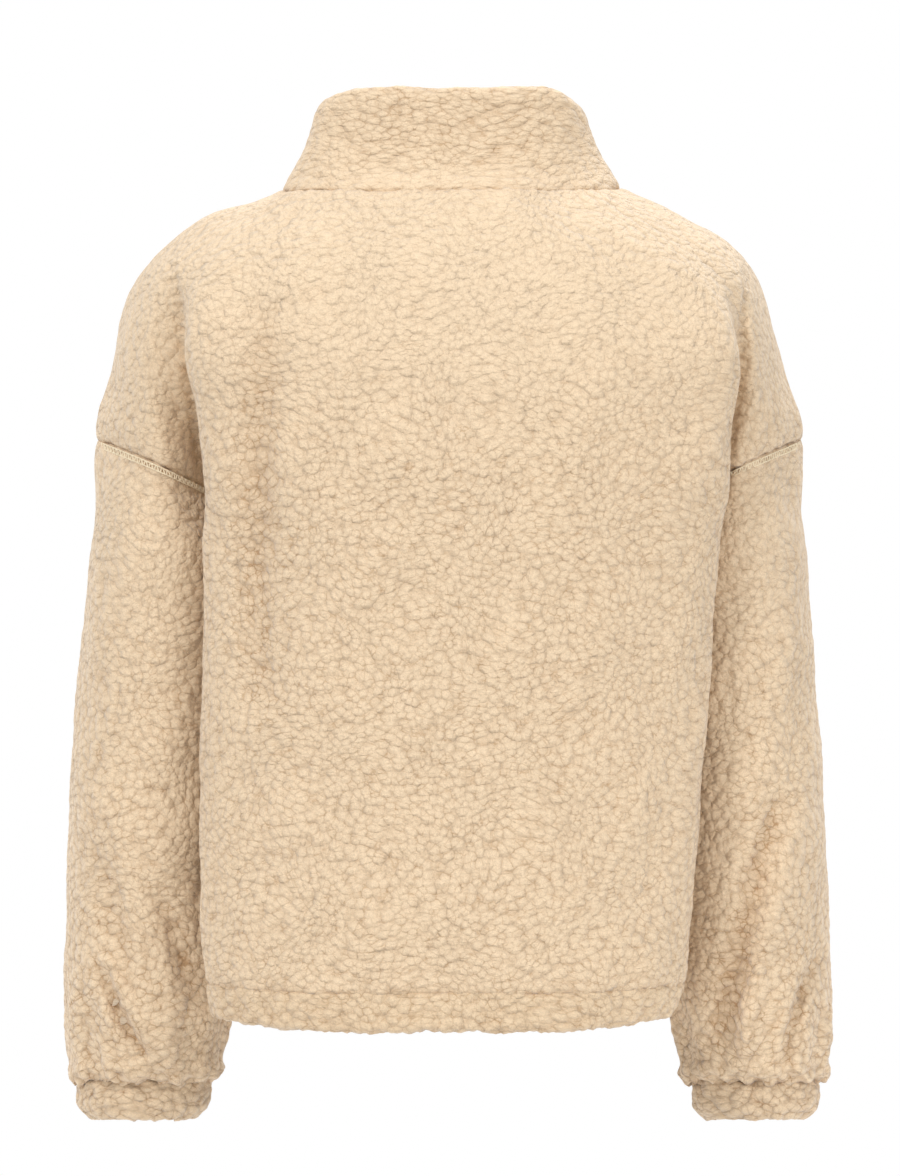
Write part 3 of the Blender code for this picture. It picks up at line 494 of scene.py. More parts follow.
def sewn_piece(
    name, grid, pile, finishes, ring=False, missing=None, thickness=CLOTH, folded=None, eased=None
):
    """A piece of cloth with a pile outside, knit inside and closed rims, from a grid of its outer surface.

    The outside is the grid pressed into its folds, lifted and lowered by the crumbs, and drawn in along the
    seams by a bell curve. The inside is every few rows and columns, set back by the cloth's thickness.
    Folded names the row of the grid where double cloth turns back, and its two sides close there in a half
    round. Eased gives how flat the pile lies at each point, and in a trough it opens up. Along the seams and
    in the troughs the finish paints the pile darker, as painted shade.
    """
    rows, columns = grid.shape[:2]
    fine_missing = None if missing is None else missing.repeat(COARSE, 0).repeat(COARSE, 1)
    squares = cells(rows, columns, ring, fine_missing)
    points = grid.reshape(-1, 3)
    normals = outward_of(points, squares)
    trough = trough_depth(points, normals)
    points = points - normals * trough[:, None]
    points = points + normals * (SLACK * waves_through(points, 16, 0.03, 0.09, 5))[:, None]
    normals = outward_of(points, squares)
    rim = np.unique(border_of(squares))
    points = lapped(points, normals, squares, rim)
    double = folded is not None
    seam = np.setdiff1d(rim, np.arange(columns) + (folded % rows) * columns) if double else rim
    used = np.unique(squares)
    from_seam = np.full(len(points), 1.0)
    from_seam[used] = distance_to(points[used], points[seam])
    broken = 0.75 + 0.35 * waves_through(points, 12, 0.006, 0.03, 21)
    draw = np.exp(-((from_seam / SEAM_WIDTH) ** 2)) * np.clip(broken, 0.35, 1.15)
    # Painted shade in the troughs of the folds, added to the painted shade of the seams' draw
    trough_shade = 0.6 * step_up(trough, 0.0010, 0.0065)
    # In a trough the cracks open up, so they take more painted shade there
    ease = (0 if eased is None else eased(points)) - 0.7 * np.clip(trough / 0.006, 0, 1)

    sides = turned_back(points, normals, columns, folded, 0.5 * thickness) if double else [(points, normals)]
    faces = []
    for body, lean in sides:
        places = crumb_places(body, pile.width, pile.height)
        crumbs = softened(1 - np.minimum(CRUMB_FALL * crumb_middles(places) ** 2, 1.0), squares)
        drop = pile.depth * (1 - 0.5 * ease) * (CRUMB_MEAN - crumbs) + SEAM_DEPTH * draw
        faces.append((body - lean * drop[:, None], places))
    outer, outer_places = faces[0]
    if double:
        coarse, in_columns, in_squares = 1, columns, squares
        inner, inner_places = faces[1]
        inner_draw, inner_ease = draw, ease
    else:
        set_back = (points - normals * thickness).reshape(rows, columns, 3)[::COARSE, ::COARSE]
        coarse, in_columns = COARSE, set_back.shape[1]
        in_squares = cells(len(set_back), in_columns, ring, missing)
        inner = set_back.reshape(-1, 3)
        inner_places = crumb_places(inner, pile.width, pile.height)
        inner_draw, inner_ease = np.zeros(len(inner)), np.ones(len(inner))
    facts = {
        # The groove shade is painted shade along the seams and in the troughs of the folds
        "groove_shade": np.concatenate([draw + trough_shade, inner_draw]),
        "ease": np.concatenate([ease, inner_ease]),
        "crumb": np.concatenate([outer_places, inner_places]),
    }
    quads = np.concatenate([squares, in_squares[:, ::-1] + len(points)])
    triangles = rim_triangles(in_squares, in_columns, columns, coarse, ring, len(points))
    backed = 0 if double else len(in_squares)
    return cloth_object(name, np.concatenate([outer, inner]), quads, triangles, backed, finishes, facts)


def wire(tree, kind, settings, sockets):
    """Adds a node with its settings, and links or fills its sockets."""
    made = tree.nodes.new(kind)
    for key, value in settings.items():
        setattr(made, key, value)
    for key, value in sockets.items():
        if isinstance(value, bpy.types.NodeSocket):
            tree.links.new(value, made.inputs[key])
        else:
            made.inputs[key].default_value = value
    return made.outputs


def ramp(tree, value, low, high, bottom=0.0, top=1.0):
    """A soft step of a value between two limits."""
    sockets = {"Value": value, "From Min": low, "From Max": high, "To Min": bottom, "To Max": top}
    return wire(tree, "ShaderNodeMapRange", {"interpolation_type": "SMOOTHSTEP"}, sockets)["Result"]


def reckon(tree, how, a, b):
    """One step of arithmetic on two values or sockets."""
    return wire(tree, "ShaderNodeMath", {"operation": how}, {0: a, 1: b})["Value"]


def blend_colour(tree, how, share, first, second):
    """Two colours blended in the way named, by a share of the second."""
    settings = {"data_type": "RGBA", "blend_type": how}
    return wire(tree, "ShaderNodeMix", settings, {0: share, 6: first, 7: second})[2]


def new_finish(name, roughness, colour=None):
    """A material with its node tree and shader, of one roughness and, where it is given, one colour."""
    made = bpy.data.materials.new(name)
    made.use_nodes = True
    shader = made.node_tree.nodes["Principled BSDF"]
    shader.inputs["Roughness"].default_value = roughness
    if colour is not None:
        shader.inputs["Base Color"].default_value = (*colour, 1)
    return made, made.node_tree, shader


def sherpa(name, fleece, shade, relief, openness):
    """Rounded crumbs with thin cracks between them, over finer crumbs and fibres, with painted shade in the
    cracks.

    A crumb's height falls with the square of the distance from its middle, and its crack is a narrow band
    along its border. Longer, deeper cracks lie sideways along the borders of wide cells. A noise opens and
    closes all cracks along their length, and the ease of the pile closes them or opens them in patches. The
    cracks, the borders of the finer crumbs and the rim of each crumb are painted towards the shade colour,
    as painted shade where the pile hides the light. Relief is the height of the crumbs in the bump, and
    openness is how far the cracks take the painted shade.
    """
    made, tree, shader = new_finish(name, 0.96)
    crumb = wire(tree, "ShaderNodeAttribute", {"attribute_name": "crumb"}, {})["Vector"]
    groove_shade = wire(tree, "ShaderNodeAttribute", {"attribute_name": "groove_shade"}, {})["Fac"]
    ease = wire(tree, "ShaderNodeAttribute", {"attribute_name": "ease"}, {})["Fac"]
    stray = wire(tree, "ShaderNodeTexNoise", {}, {"Vector": crumb, "Scale": 1.4, "Detail": 2.0})["Color"]
    shift = wire(tree, "ShaderNodeVectorMath", {"operation": "MULTIPLY_ADD"},
                 {0: stray, 1: (0.46, 0.46, 0.46), 2: (-0.23, -0.23, -0.23)})["Vector"]
    place = wire(tree, "ShaderNodeVectorMath", {"operation": "ADD"}, {0: crumb, 1: shift})["Vector"]
    wide = wire(tree, "ShaderNodeVectorMath", {"operation": "MULTIPLY"},
                {0: place, 1: (0.24, 0.24, 0.62)})["Vector"]
    edges = {"feature": "DISTANCE_TO_EDGE"}
    middle = wire(tree, "ShaderNodeTexVoronoi", {}, {"Vector": place, "Scale": 1.0})["Distance"]
    border = wire(tree, "ShaderNodeTexVoronoi", edges, {"Vector": place, "Scale": 1.0})["Distance"]
    fine_middle = wire(tree, "ShaderNodeTexVoronoi", {}, {"Vector": place, "Scale": 2.3})["Distance"]
    long_border = wire(tree, "ShaderNodeTexVoronoi", edges, {"Vector": wide, "Scale": 1.0})["Distance"]
    patch = wire(tree, "ShaderNodeTexNoise", {}, {"Vector": crumb, "Scale": 0.85, "Detail": 2.0})["Fac"]
    fibre = wire(tree, "ShaderNodeTexNoise", {},
                 {"Vector": crumb, "Scale": 7.0, "Detail": 3.0, "Roughness": 0.7})["Fac"]
    open_share = ramp(tree, patch, 0.36, 0.66, 0.15, 1.0)
    crack = reckon(tree, "MULTIPLY", ramp(tree, border, 0.0, 0.11, 1.0, 0.0), open_share)
    long_crack = reckon(tree, "MULTIPLY", ramp(tree, long_border, 0.0, 0.045, 1.0, 0.0),
                        ramp(tree, patch, 0.46, 0.64))
    pits = ramp(tree, fine_middle, 0.42, 0.72)
    dome = reckon(tree, "MULTIPLY", reckon(tree, "POWER", middle, 2.0), -1.0)
    fine_dome = reckon(tree, "MULTIPLY", reckon(tree, "POWER", fine_middle, 2.0), -0.30)
    height = reckon(tree, "ADD", reckon(tree, "ADD", dome, fine_dome), reckon(tree, "MULTIPLY", fibre, 0.15))
    # Painted shade: the cracks, the finer crumbs' borders and each crumb's rim darkened towards the shade
    # colour
    painted_shade = reckon(tree, "ADD", reckon(tree, "MULTIPLY", crack, openness),
                  reckon(tree, "MULTIPLY", long_crack, 0.65 * openness))
    painted_shade = reckon(tree, "ADD", painted_shade, reckon(tree, "MULTIPLY", pits, 0.18 * openness))
    painted_shade = reckon(tree, "ADD", painted_shade, ramp(tree, middle, 0.25, 0.75, 0.0, 0.50 * openness))
    opened = reckon(tree, "SUBTRACT", 1.0, reckon(tree, "MULTIPLY", ease, 0.62))
    painted_shade = reckon(tree, "MULTIPLY", painted_shade, opened)
    # Painted shade along the seams and in the fold troughs
    painted_shade = reckon(tree, "MINIMUM", reckon(tree, "ADD", painted_shade, reckon(tree, "MULTIPLY", groove_shade, 0.26)), 0.9)
    tone = ramp(tree, fibre, 0.25, 0.75, 0.86, 1.10)
    colour = blend_colour(tree, "MIX", painted_shade, (*fleece, 1), (*shade, 1))
    grey = wire(tree, "ShaderNodeCombineColor", {}, {0: tone, 1: tone, 2: tone})["Color"]
    colour = blend_colour(tree, "MULTIPLY", 1.0, colour, grey)
    tree.links.new(colour, shader.inputs["Base Color"])
    bump = wire(tree, "ShaderNodeBump", {}, {"Strength": 1.0, "Distance": relief, "Height": height})
    tree.links.new(bump["Normal"], shader.inputs["Normal"])
    shader.inputs["Specular IOR Level"].default_value = 0.10
    shader.inputs["Sheen Weight"].default_value = 0.38
    shader.inputs["Sheen Roughness"].default_value = 0.50
    return made


def ribbed(name, colour, roughness, scale, wander, strength, depth):
    """Fine rows one above another, as a wave of the height that wanders a little."""
    made, tree, shader = new_finish(name, roughness, colour)
    place = wire(tree, "ShaderNodeTexCoord", {}, {})["Object"]
    rows = wire(tree, "ShaderNodeTexWave", {"bands_direction": "Z"},
                {"Vector": place, "Scale": scale, "Distortion": wander, "Detail": 1.0})["Fac"]
    bump = wire(tree, "ShaderNodeBump", {}, {"Strength": strength, "Distance": depth, "Height": rows})
    tree.links.new(bump["Normal"], shader.inputs["Normal"])
    return made


FLEECE = (0.82, 0.645, 0.452)
# The colour of the painted shade deep in the cracks and grooves of the pile
CREVICE_SHADE = (0.45, 0.27, 0.135)
body_sherpa = sherpa("body_sherpa", FLEECE, CREVICE_SHADE, 0.0024, 0.34)
backing = ribbed("knit_backing", (0.74, 0.61, 0.46), 0.9, 220.0, 1.5, 0.6, 0.0003)

BACK_COLUMNS = (48, 42, 38)
BACK_ARM = (34, 34)
YOKE_ROWS = (10, 18, 20, 20, 22, 22)
TRUNK_ROWS = (18, 44, 50, 34, 22)


def back_grid():
    """The two halves of the back side by side, with the armholes' corners left out below the arms."""
    halves = []
    arm = sum(BACK_ARM)
    for side in (1, -1):
        trunk, shoulder, _ = half_jacket(
            side, BACK_COLUMNS, BACK_ARM + (1, 1), (1, 1, 1), YOKE_ROWS, TRUNK_ROWS + (1,)
        )
        first = sum(BACK_COLUMNS)
        rows = sum(YOKE_ROWS) + sum(TRUNK_ROWS) + 1
        grid = np.repeat(trunk[:rows, first : first + 1], first + arm + 1, axis=1)
        grid[:, : first + 1] = trunk[:rows, : first + 1]
        grid[: sum(YOKE_ROWS) + 1] = shoulder[:, : first + arm + 1]
        halves.append(grid)
    missing = np.zeros(((rows - 1) // COARSE, 2 * (first + arm) // COARSE), bool)
    missing[sum(YOKE_ROWS) // COARSE :, : arm // COARSE] = True
    missing[sum(YOKE_ROWS) // COARSE :, -(arm // COARSE) :] = True
    return side_by_side(halves), missing


def brushed_shoulders(points):
    """The pile lies flatter from the chest up to the shoulders, by a soft step of height."""
    return step_up(points[:, 2], -0.22, -0.05)


grid, missing = back_grid()
back_panel = sewn_piece("back_panel_cloth", grid, Pile(0.0060, 0.0050, 0.0008), (body_sherpa, backing),
                        missing=missing, eased=brushed_shoulders)
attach(back_panel, "jacket")
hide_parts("back_panel")

# The fronts. Two mirrored pieces of the same sherpa, sewn to the back along the shoulders and sides. Their
# edges are turned in beside the zip. Their creases are a little different from each other.
FRONT_COLUMNS = (40, 32, 32)
FRONT_ARM = (32, 32)
FRONT_YOKE_ROWS = (8, 16, 16, 20, 20, 20)
FRONT_TRUNK_ROWS = (16, 40, 48, 32, 20)
SIDES = ((1, "left"), (-1, "right"))


def front_grid(side):
    """The front from the shoulder seam over the chest to the zip, the armhole's corner left out."""
    arm = sum(FRONT_ARM)
    back, arm_back = (1, 1, 1), (1, 1)
    trunk, shoulder, _ = half_jacket(
        side, back, arm_back + FRONT_ARM, FRONT_COLUMNS, FRONT_YOKE_ROWS, FRONT_TRUNK_ROWS + (1,)
    )
    rows = sum(FRONT_YOKE_ROWS) + sum(FRONT_TRUNK_ROWS) + 1
    chest = trunk[:rows, len(back) :]
    grid = np.concatenate([np.repeat(chest[:, :1], arm, axis=1), chest], axis=1)
    grid[: sum(FRONT_YOKE_ROWS) + 1] = shoulder[:, len(back) + len(arm_back) :]
    missing = np.zeros(((rows - 1) // COARSE, (arm + sum(FRONT_COLUMNS)) // COARSE), bool)
    missing[sum(FRONT_YOKE_ROWS) // COARSE :, : arm // COARSE] = True
    return (grid[:, ::-1], missing[:, ::-1]) if side > 0 else (grid, missing)


for side, name in SIDES:
    grid, missing = front_grid(side)
    front = sewn_piece(f"front_{name}_cloth", grid, Pile(0.0060, 0.0050, 0.0008), (body_sherpa, backing),
                       missing=missing, eased=brushed_shoulders)
    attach(front, "jacket")
    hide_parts("front_" + name)

# The sleeves. Each is one piece of sherpa closed into a tube by the seam under the arm and set into the
# dropped armhole. It puffs out over the cuff that gathers it, where the pile is matted into bigger crumbs.
SLEEVE_COLUMNS = (48, 48, 48, 48)
SLEEVE_ROWS = (24, 34, 42, 42, 36, 24, 12, 6)
PUFF_HEIGHT = 0.014
PUFF_OUT = 0.0030
PUFF_DOWN = 0.0034
sleeve_sherpa = sherpa("sleeve_sherpa", FLEECE, CREVICE_SHADE, 0.0025, 0.35)


def brushed_sleeve(points):
    """The pile lies flatter near the armhole and opens up on the lower sleeve, by soft steps of height, so
    that the lower sleeve takes more painted shade in its cracks.
    """
    return 0.5 * step_up(points[:, 2], -0.36, -0.22) - 0.6 * (1 - step_up(points[:, 2], -0.58, -0.44))


def arm_grid(side, rows, cuff_rows):
    """The arm's rings from the armhole down. The last column is the first one again and is left out."""
    _, _, limb = half_jacket(side, (1, 1, 1), SLEEVE_COLUMNS, (1, 1, 1), (1,) * 6, (1,) * 6, rows, cuff_rows)
    limb = limb[:, :-1]
    return limb[:, ::-1] if side > 0 else limb


def puffed(grid):
    """The last rings pushed out and down over the cuff, more in some places.

    Near is a soft step of height. The way down grows with it, and the way out with the sine of it, so that
    the lowest ring turns in again.
    """
    near = step_up(-grid[..., 2:], -SLEEVE[-1].z - PUFF_HEIGHT, -SLEEVE[-1].z)
    centre = grid.mean(axis=1, keepdims=True)
    outward = unit((grid - centre) * (1, 1, 0))
    waves = waves_through(grid.reshape(-1, 3), 14, 0.008, 0.03, 41)
    uneven = 1 + 0.45 * waves.reshape(grid.shape[:2] + (1,))
    return grid + uneven * (PUFF_OUT * np.sin(2.3 * near) * outward - near * (0, 0, PUFF_DOWN))


for side, name in SIDES:
    grid = puffed(arm_grid(side, SLEEVE_ROWS, (1, 1, 1))[: sum(SLEEVE_ROWS) + 1])
    sleeve = sewn_piece(f"sleeve_{name}_cloth", grid, Pile(0.0063, 0.0053, 0.0010), (sleeve_sherpa, backing),
                        ring=True, eased=brushed_sleeve)
    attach(sleeve, "jacket")
    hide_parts("sleeve_" + name)

# The cuffs. A narrow band of sherpa, folded double and sewn into a ring, which gathers each sleeve. Their
# pile is matted, and it is painted darker than the body's, with more painted shade in its cracks: painted
# shade low on the arms.
CUFF_ROWS = (8, 8, 7)
DOUBLE_CLOTH = 0.0085
# Darker fleece and shade colours and more open cracks: painted shade low on the arms
cuff_sherpa = sherpa("cuff_sherpa", (0.77, 0.600, 0.415), (0.38, 0.225, 0.115), 0.0028, 0.44)
for side, name in SIDES:
    grid = arm_grid(side, (1,) * 8, CUFF_ROWS)[8:]
    cuff = sewn_piece(f"cuff_{name}_cloth", grid, Pile(0.0074, 0.0054, 0.0013), (cuff_sherpa,),
                      ring=True, thickness=DOUBLE_CLOTH, folded=-1)
    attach(cuff, "jacket")
    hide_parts("cuff_" + name)

# The hem. Three lengths of the same band, double, under the back and under each front. A row of stitches
# draws it in, and its lower edge is the fold of the cloth.
HEM_ROWS = (16,)
# The hem's pile is painted a little darker than the body's, as painted shade low on the jacket
hem_sherpa = sherpa("hem_sherpa", (0.80, 0.625, 0.430), CREVICE_SHADE, 0.0025, 0.38)


def hem_grid(side, columns, front):
    """The band below the stitch line, of the back half or of the front half of one side."""
    back_steps, front_steps = ((1, 1, 1), columns) if front else (columns, (1, 1, 1))
    yoke, lower = (1,) * 6, (1,) * 5
    trunk, _, _ = half_jacket(side, back_steps, (1,) * 4, front_steps, yoke, lower + HEM_ROWS)
    band = trunk[len(yoke) + len(lower) :]
    first = sum(back_steps)
    return band[:, first:] if front else band[:, : first + 1]


halves = [hem_grid(side, BACK_COLUMNS, False) for side in (1, -1)]
hem_pieces = [("hem_back", side_by_side(halves), "back_panel", 0.505, 0.0131)]
for side, name in SIDES:
    grid = hem_grid(side, FRONT_COLUMNS, True)
    grid = grid[:, ::-1] if side > 0 else grid
    hem_pieces.append(("hem_front_" + name, grid, "front_" + name, 0.193, 0.0048))
for node, grid, above, length, area in hem_pieces:
    hem = sewn_piece(node + "_cloth", grid, Pile(0.0068, 0.0050, 0.0011), (hem_sherpa,),
                     thickness=DOUBLE_CLOTH, folded=-1)
    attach(hem, "jacket")
    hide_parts(node)

# The collar. A double band of sherpa that stands round the neck, folded along its top edge and sewn into
# the neck seam. Its pile is squeezed into long crumbs that lie round the neck.
Collar = namedtuple("Collar", "side_x back_y front_y back_z side_z front_z")
COLLAR = [
    Collar(0.1085, 0.0570, -0.0800, 0.012, 0.011, -0.058),
    Collar(0.0998, 0.0520, -0.0810, 0.031, 0.027, -0.038),
    Collar(0.0945, 0.0510, -0.0820, 0.052, 0.040, -0.014),
    Collar(0.0903, 0.0500, -0.0810, 0.066, 0.052, 0.006),
    Collar(0.0850, 0.0440, -0.0750, 0.0705, 0.057, 0.012),
]
COLLAR_COLUMNS = ((26, 22, 10), (8, 9, 9, 12), (18, 28, 20))
COLLAR_ROWS = (7, 9, 10, 9, 8)
collar_sherpa = sherpa("collar_sherpa", FLEECE, CREVICE_SHADE, 0.0020, 0.36)


def collar_ring(row, side, neck):
    """Half a ring of the collar over the same columns as the neck seam, by each column's bearing there."""
    reach = np.where(neck[:, 1] > 0, BACK_YOKE[0].y, -FRONT_YOKE[0].y)
    turn = np.arctan2(neck[:, 1] / reach, np.abs(neck[:, 0]) / RIDGE[0].left)
    depth = np.where(turn > 0, row.back_y, -row.front_y)
    x = row.side_x * np.cos(turn)
    widened = FRONT_EDGE + (x - x[-1]) * (row.side_x - FRONT_EDGE) / (row.side_x - x[-1])
    x = np.where(turn < 0, widened, x)
    rise = np.sin(turn)
    upper = row.side_z + (row.back_z - row.side_z) * np.clip(rise * 1.5, 0, 1)
    lower = row.side_z + (row.front_z - row.side_z) * (0.5 - 0.5 * np.cos(math.pi * np.clip(-rise, 0, 1)))
    return np.stack([side * x, depth * rise, np.where(turn > 0, upper, lower)], axis=-1)


def collar_half(side, columns, rows):
    """Half the collar from its top edge down to the neck seam, smooth through its rings."""
    _, shoulder, _ = half_jacket(side, *columns, (1,) * 6, (1,) * 6)
    keys = [collar_ring(row, side, shoulder[0]) for row in COLLAR[::-1]] + [shoulder[0]]
    return smooth(np.array(keys), rows)


def squeezed_collar(points):
    """Cracks open in a band across the collar's middle and close at its sides and above the neck seam."""
    band = np.exp(-(((points[:, 2] - 0.040) / 0.013) ** 2) - (points[:, 0] / 0.055) ** 2)
    calm = np.maximum(1 - step_up(points[:, 2], 0.008, 0.024), step_up(np.abs(points[:, 0]), 0.050, 0.085))
    return 0.6 * calm - 0.5 * band


halves = [collar_half(side, COLLAR_COLUMNS, COLLAR_ROWS) for side in (1, -1)]
collar = sewn_piece("collar_cloth", side_by_side(halves), Pile(0.0076, 0.0038, 0.0008), (collar_sherpa,),
                    thickness=DOUBLE_CLOTH, folded=0, eased=squeezed_collar)
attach(collar, "jacket")
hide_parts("collar")

# The armhole stitching. A cover stitch of cream thread lies flat across each armhole seam, a little way down
# the sleeve: two rows along the seam with a thread that runs back and forth between them like a ladder.
STITCH_PITCH = 0.0021
STITCH_NEAR = 0.0012
STITCH_FAR = 0.0046
THREAD = 0.00042
LADDER_RISE = 0.0003
SEAM_ROWS = (24, 1, 1, 1, 1, 1, 1, 1)
STITCH_LIFT = {"left": 0.0002, "right": -0.0003}  # the right one lies deeper in the pile
STITCH_WANDER = {"left": 0.00012, "right": 0.0004}
thread, _, _ = new_finish("cream_thread", 0.6, (0.88, 0.76, 0.56))


def mesh_piece(name, points, quads, finish):
    """One object from points and squares, smooth-shaded, at the origin."""
    mesh = bpy.data.meshes.new(name)
    mesh.from_pydata(points.tolist(), [], quads.tolist())
    mesh.polygons.foreach_set("use_smooth", np.ones(len(quads), bool))
    mesh.materials.append(finish)
    return in_scene(name, mesh)


def tube(path, up, radius, sides=6):
    """A ring of points round each place of a closed path, turned by the path's direction and the way up."""
    ahead = unit(np.roll(path, -1, axis=0) - np.roll(path, 1, axis=0))
    across = unit(np.cross(ahead, up))
    rise = np.cross(across, ahead)
    turn = np.arange(sides) * 2 * math.pi / sides
    ring = across[:, None] * np.cos(turn)[:, None] + rise[:, None] * np.sin(turn)[:, None]
    points = path[:, None] + radius * ring
    row = np.arange(len(path))[:, None] * sides
    next_row = np.roll(row, -1, axis=0)
    column = np.arange(sides)
    next_column = (column + 1) % sides
    quads = np.stack([row + column, row + next_column, next_row + next_column, next_row + column], axis=-1)
    return points.reshape(-1, 3), quads.reshape(-1, 4)


def seam_lines(side):
    """Two closed lines round the top of a sleeve, near the seam and further from it, and the ways out."""
    rings = arm_grid(side, SEAM_ROWS, (1, 1, 1))[:9]
    run = run_down(rings)
    lines = []
    for reach in (STITCH_NEAR, STITCH_FAR):
        row = (run < reach).sum(axis=0).clip(1, len(rings) - 1)
        column = np.arange(rings.shape[1])
        share = (reach - run[row - 1, column]) / (run[row, column] - run[row - 1, column])
        lines.append(rings[row - 1, column] + share[:, None] * (rings[row, column] - rings[row - 1, column]))
    squares = cells(len(rings), rings.shape[1], ring=True)
    up = outward_of(rings.reshape(-1, 3), squares).reshape(rings.shape)[2]
    return lines, up


def evenly(line, others, marks):
    """A closed line and its companions read again at shares of its length, by straight interpolation."""
    length = run_down(np.concatenate([line, line[:1]]))
    where = marks * length[-1]
    read = []
    for other in [line] + others:
        looped = np.concatenate([other, other[:1]])
        read.append(np.stack([np.interp(where, length, looped[:, k]) for k in range(3)], axis=-1))
    return read, length[-1]


for side, name in SIDES:
    (near, far), up = seam_lines(side)
    _, length = evenly(near, [], np.zeros(1))
    rungs = int(length / STITCH_PITCH / 2) * 2
    steps = np.arange(rungs * 4)
    marks = steps / len(steps)
    (near_line, far_line, up_line), _ = evenly(near, [far, up], marks)
    swing = 0.5 - 0.5 * np.clip(1.6 * np.cos(steps * math.pi / 4), -1, 1)
    lift = STITCH_LIFT[name]
    ladder = near_line + swing[:, None] * (far_line - near_line)
    wander = waves_through(ladder, 8, 0.004, 0.012, 31)[:, None] * STITCH_WANDER[name]
    stitch_rows = [line + up_line * lift + wander * up_line for line in (near_line, far_line)]
    paths = [ladder + up_line * (lift + LADDER_RISE)] + stitch_rows
    parts = [tube(path, up_line, THREAD) for path in paths]
    starts = np.cumsum([0] + [len(points) for points, _ in parts])
    points = np.concatenate([points for points, _ in parts])
    quads = np.concatenate([quads + start for (_, quads), start in zip(parts, starts)])
    stitching = mesh_piece(f"armhole_stitching_{name}", points, quads, thread)
    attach(stitching, "jacket")

# The zip. Woven tapes behind the turned-in front edges carry moulded teeth, which lock across the middle
# from the box at the hem up to the slider at the top of the collar.
TAPE_END = 0.007
NOTCH_LENGTH = 0.0075
BOX_LENGTH = 0.0085
ZIP_DEPTH = 0.0028
TOOTH_PITCH = 0.0030
TOOTH_LENGTH = 0.00142
TOOTH_INNER = -0.0009
TOOTH_OUTER = 0.0030
TOOTH_HALF_THICK = 0.00135
TAPE_SHEETS = (0.0003, 0.0030, 0.0080)
TAPE_HALF_THICK = 0.0006
TAPE_ROWS = 160
FIRST_TOOTH = 0.0062
BEND_REACH = 0.006
trunk, _, _ = half_jacket(1, (1, 1, 1), (1,) * 4, (1, 1, 1), (4,) * 6, (6,) * 6)
collar_edge = collar_half(1, ((1, 1, 1), (1, 1, 1, 1), (1, 1, 1)), (4,) * 5)[:, -1]
front_line = np.concatenate([collar_edge, trunk[1:, -1]])[:, 1:]
down_front = run_down(front_line)
zip_length = down_front[-1]


def front_at(marks):
    """Places at lengths down the centre front, by straight interpolation."""
    return np.stack([np.interp(marks, down_front, front_line[:, k]) for k in (0, 1)], axis=1)


def in_zip_frame(side, x, depth, marks):
    """Points from their place across, out of and down the zip, which lies a little behind the front's face.

    The way down is that between the places just above and just below, and the way out is square to it.
    """
    lengths = marks.reshape(-1)
    along = unit(front_at(lengths + BEND_REACH) - front_at(lengths - BEND_REACH))
    outward = np.stack([along[:, 1], -along[:, 0]], axis=1)
    places = front_at(lengths) + (depth.reshape(-1, 1) - ZIP_DEPTH) * outward
    return np.concatenate([side * x[..., None], places.reshape(marks.shape + (2,))], axis=-1)


woven = ribbed("woven_tape", (0.62, 0.50, 0.35), 0.8, 420.0, 0.0, 0.7, 0.0002)
plastic, _, _ = new_finish("moulded_teeth", 0.32, (0.66, 0.53, 0.37))
for side, name in SIDES:
    marks = np.linspace(TAPE_END, zip_length - TAPE_END, TAPE_ROWS)
    inner, middle, outer = TAPE_SHEETS
    ring_x = np.array([inner, middle, outer, outer, middle, inner])
    ring_depth = TAPE_HALF_THICK * np.array([1, 1, 1, -1, -1, -1])
    x, m = np.meshgrid(ring_x, marks)
    depth = np.broadcast_to(ring_depth, x.shape)
    sides = len(ring_x)
    quads = cells(len(marks), sides, ring=True)
    ends = np.array([[0, 1, 4, 5], [1, 2, 3, 4]])
    quads = np.concatenate([quads, ends, ends[:, ::-1] + (len(marks) - 1) * sides])
    quads = quads if side < 0 else quads[:, ::-1]
    tape = mesh_piece(f"zip_tape_{name}_woven", in_zip_frame(side, x, depth, m).reshape(-1, 3), quads, woven)

    first_tooth = TAPE_END + NOTCH_LENGTH + FIRST_TOOTH + (TOOTH_PITCH / 2 if side > 0 else 0)
    seats = np.arange(first_tooth, zip_length - TAPE_END - BOX_LENGTH, TOOTH_PITCH)
    outline = np.array([(TOOTH_INNER + 0.0004, -1), (TOOTH_OUTER - 0.0003, -1), (TOOTH_OUTER, -0.6),
                        (TOOTH_OUTER, 0.6), (TOOTH_OUTER - 0.0003, 1), (TOOTH_INNER + 0.0004, 1),
                        (TOOTH_INNER, 0.6), (TOOTH_INNER, -0.6)])
    layers = np.array([(-1.0, 0.86), (-0.82, 1.0), (0.82, 1.0), (1.0, 0.86)])
    centre_x = 0.5 * (TOOTH_INNER + TOOTH_OUTER)
    x = centre_x + (outline[:, 0] - centre_x) * layers[:, 1:]
    m = seats[:, None, None] + 0.5 * TOOTH_LENGTH * outline[:, 1] * layers[:, 1:]
    x = np.broadcast_to(x, m.shape)
    depth = np.broadcast_to(TOOTH_HALF_THICK * layers[:, :1], m.shape)
    points = in_zip_frame(side, x, depth, m)
    layer = cells(len(layers), len(outline), ring=True)
    caps = np.array([[0, 1, 2, 7], [7, 2, 3, 6], [6, 3, 4, 5]])
    tooth = np.concatenate([layer, caps[:, ::-1], caps + (len(layers) - 1) * len(outline)])
    starts = np.arange(len(seats))[:, None, None] * len(layers) * len(outline)
    quads = (tooth[None] + starts).reshape(-1, 4)
    quads = quads if side > 0 else quads[:, ::-1]
    teeth = mesh_piece(f"zip_teeth_{name}", points.reshape(-1, 3), quads, plastic)
    teeth.data.set_sharp_from_angle(angle=math.radians(40))
    for piece in (tape, teeth):
        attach(piece, "jacket")
    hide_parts("zip_tape_" + name)

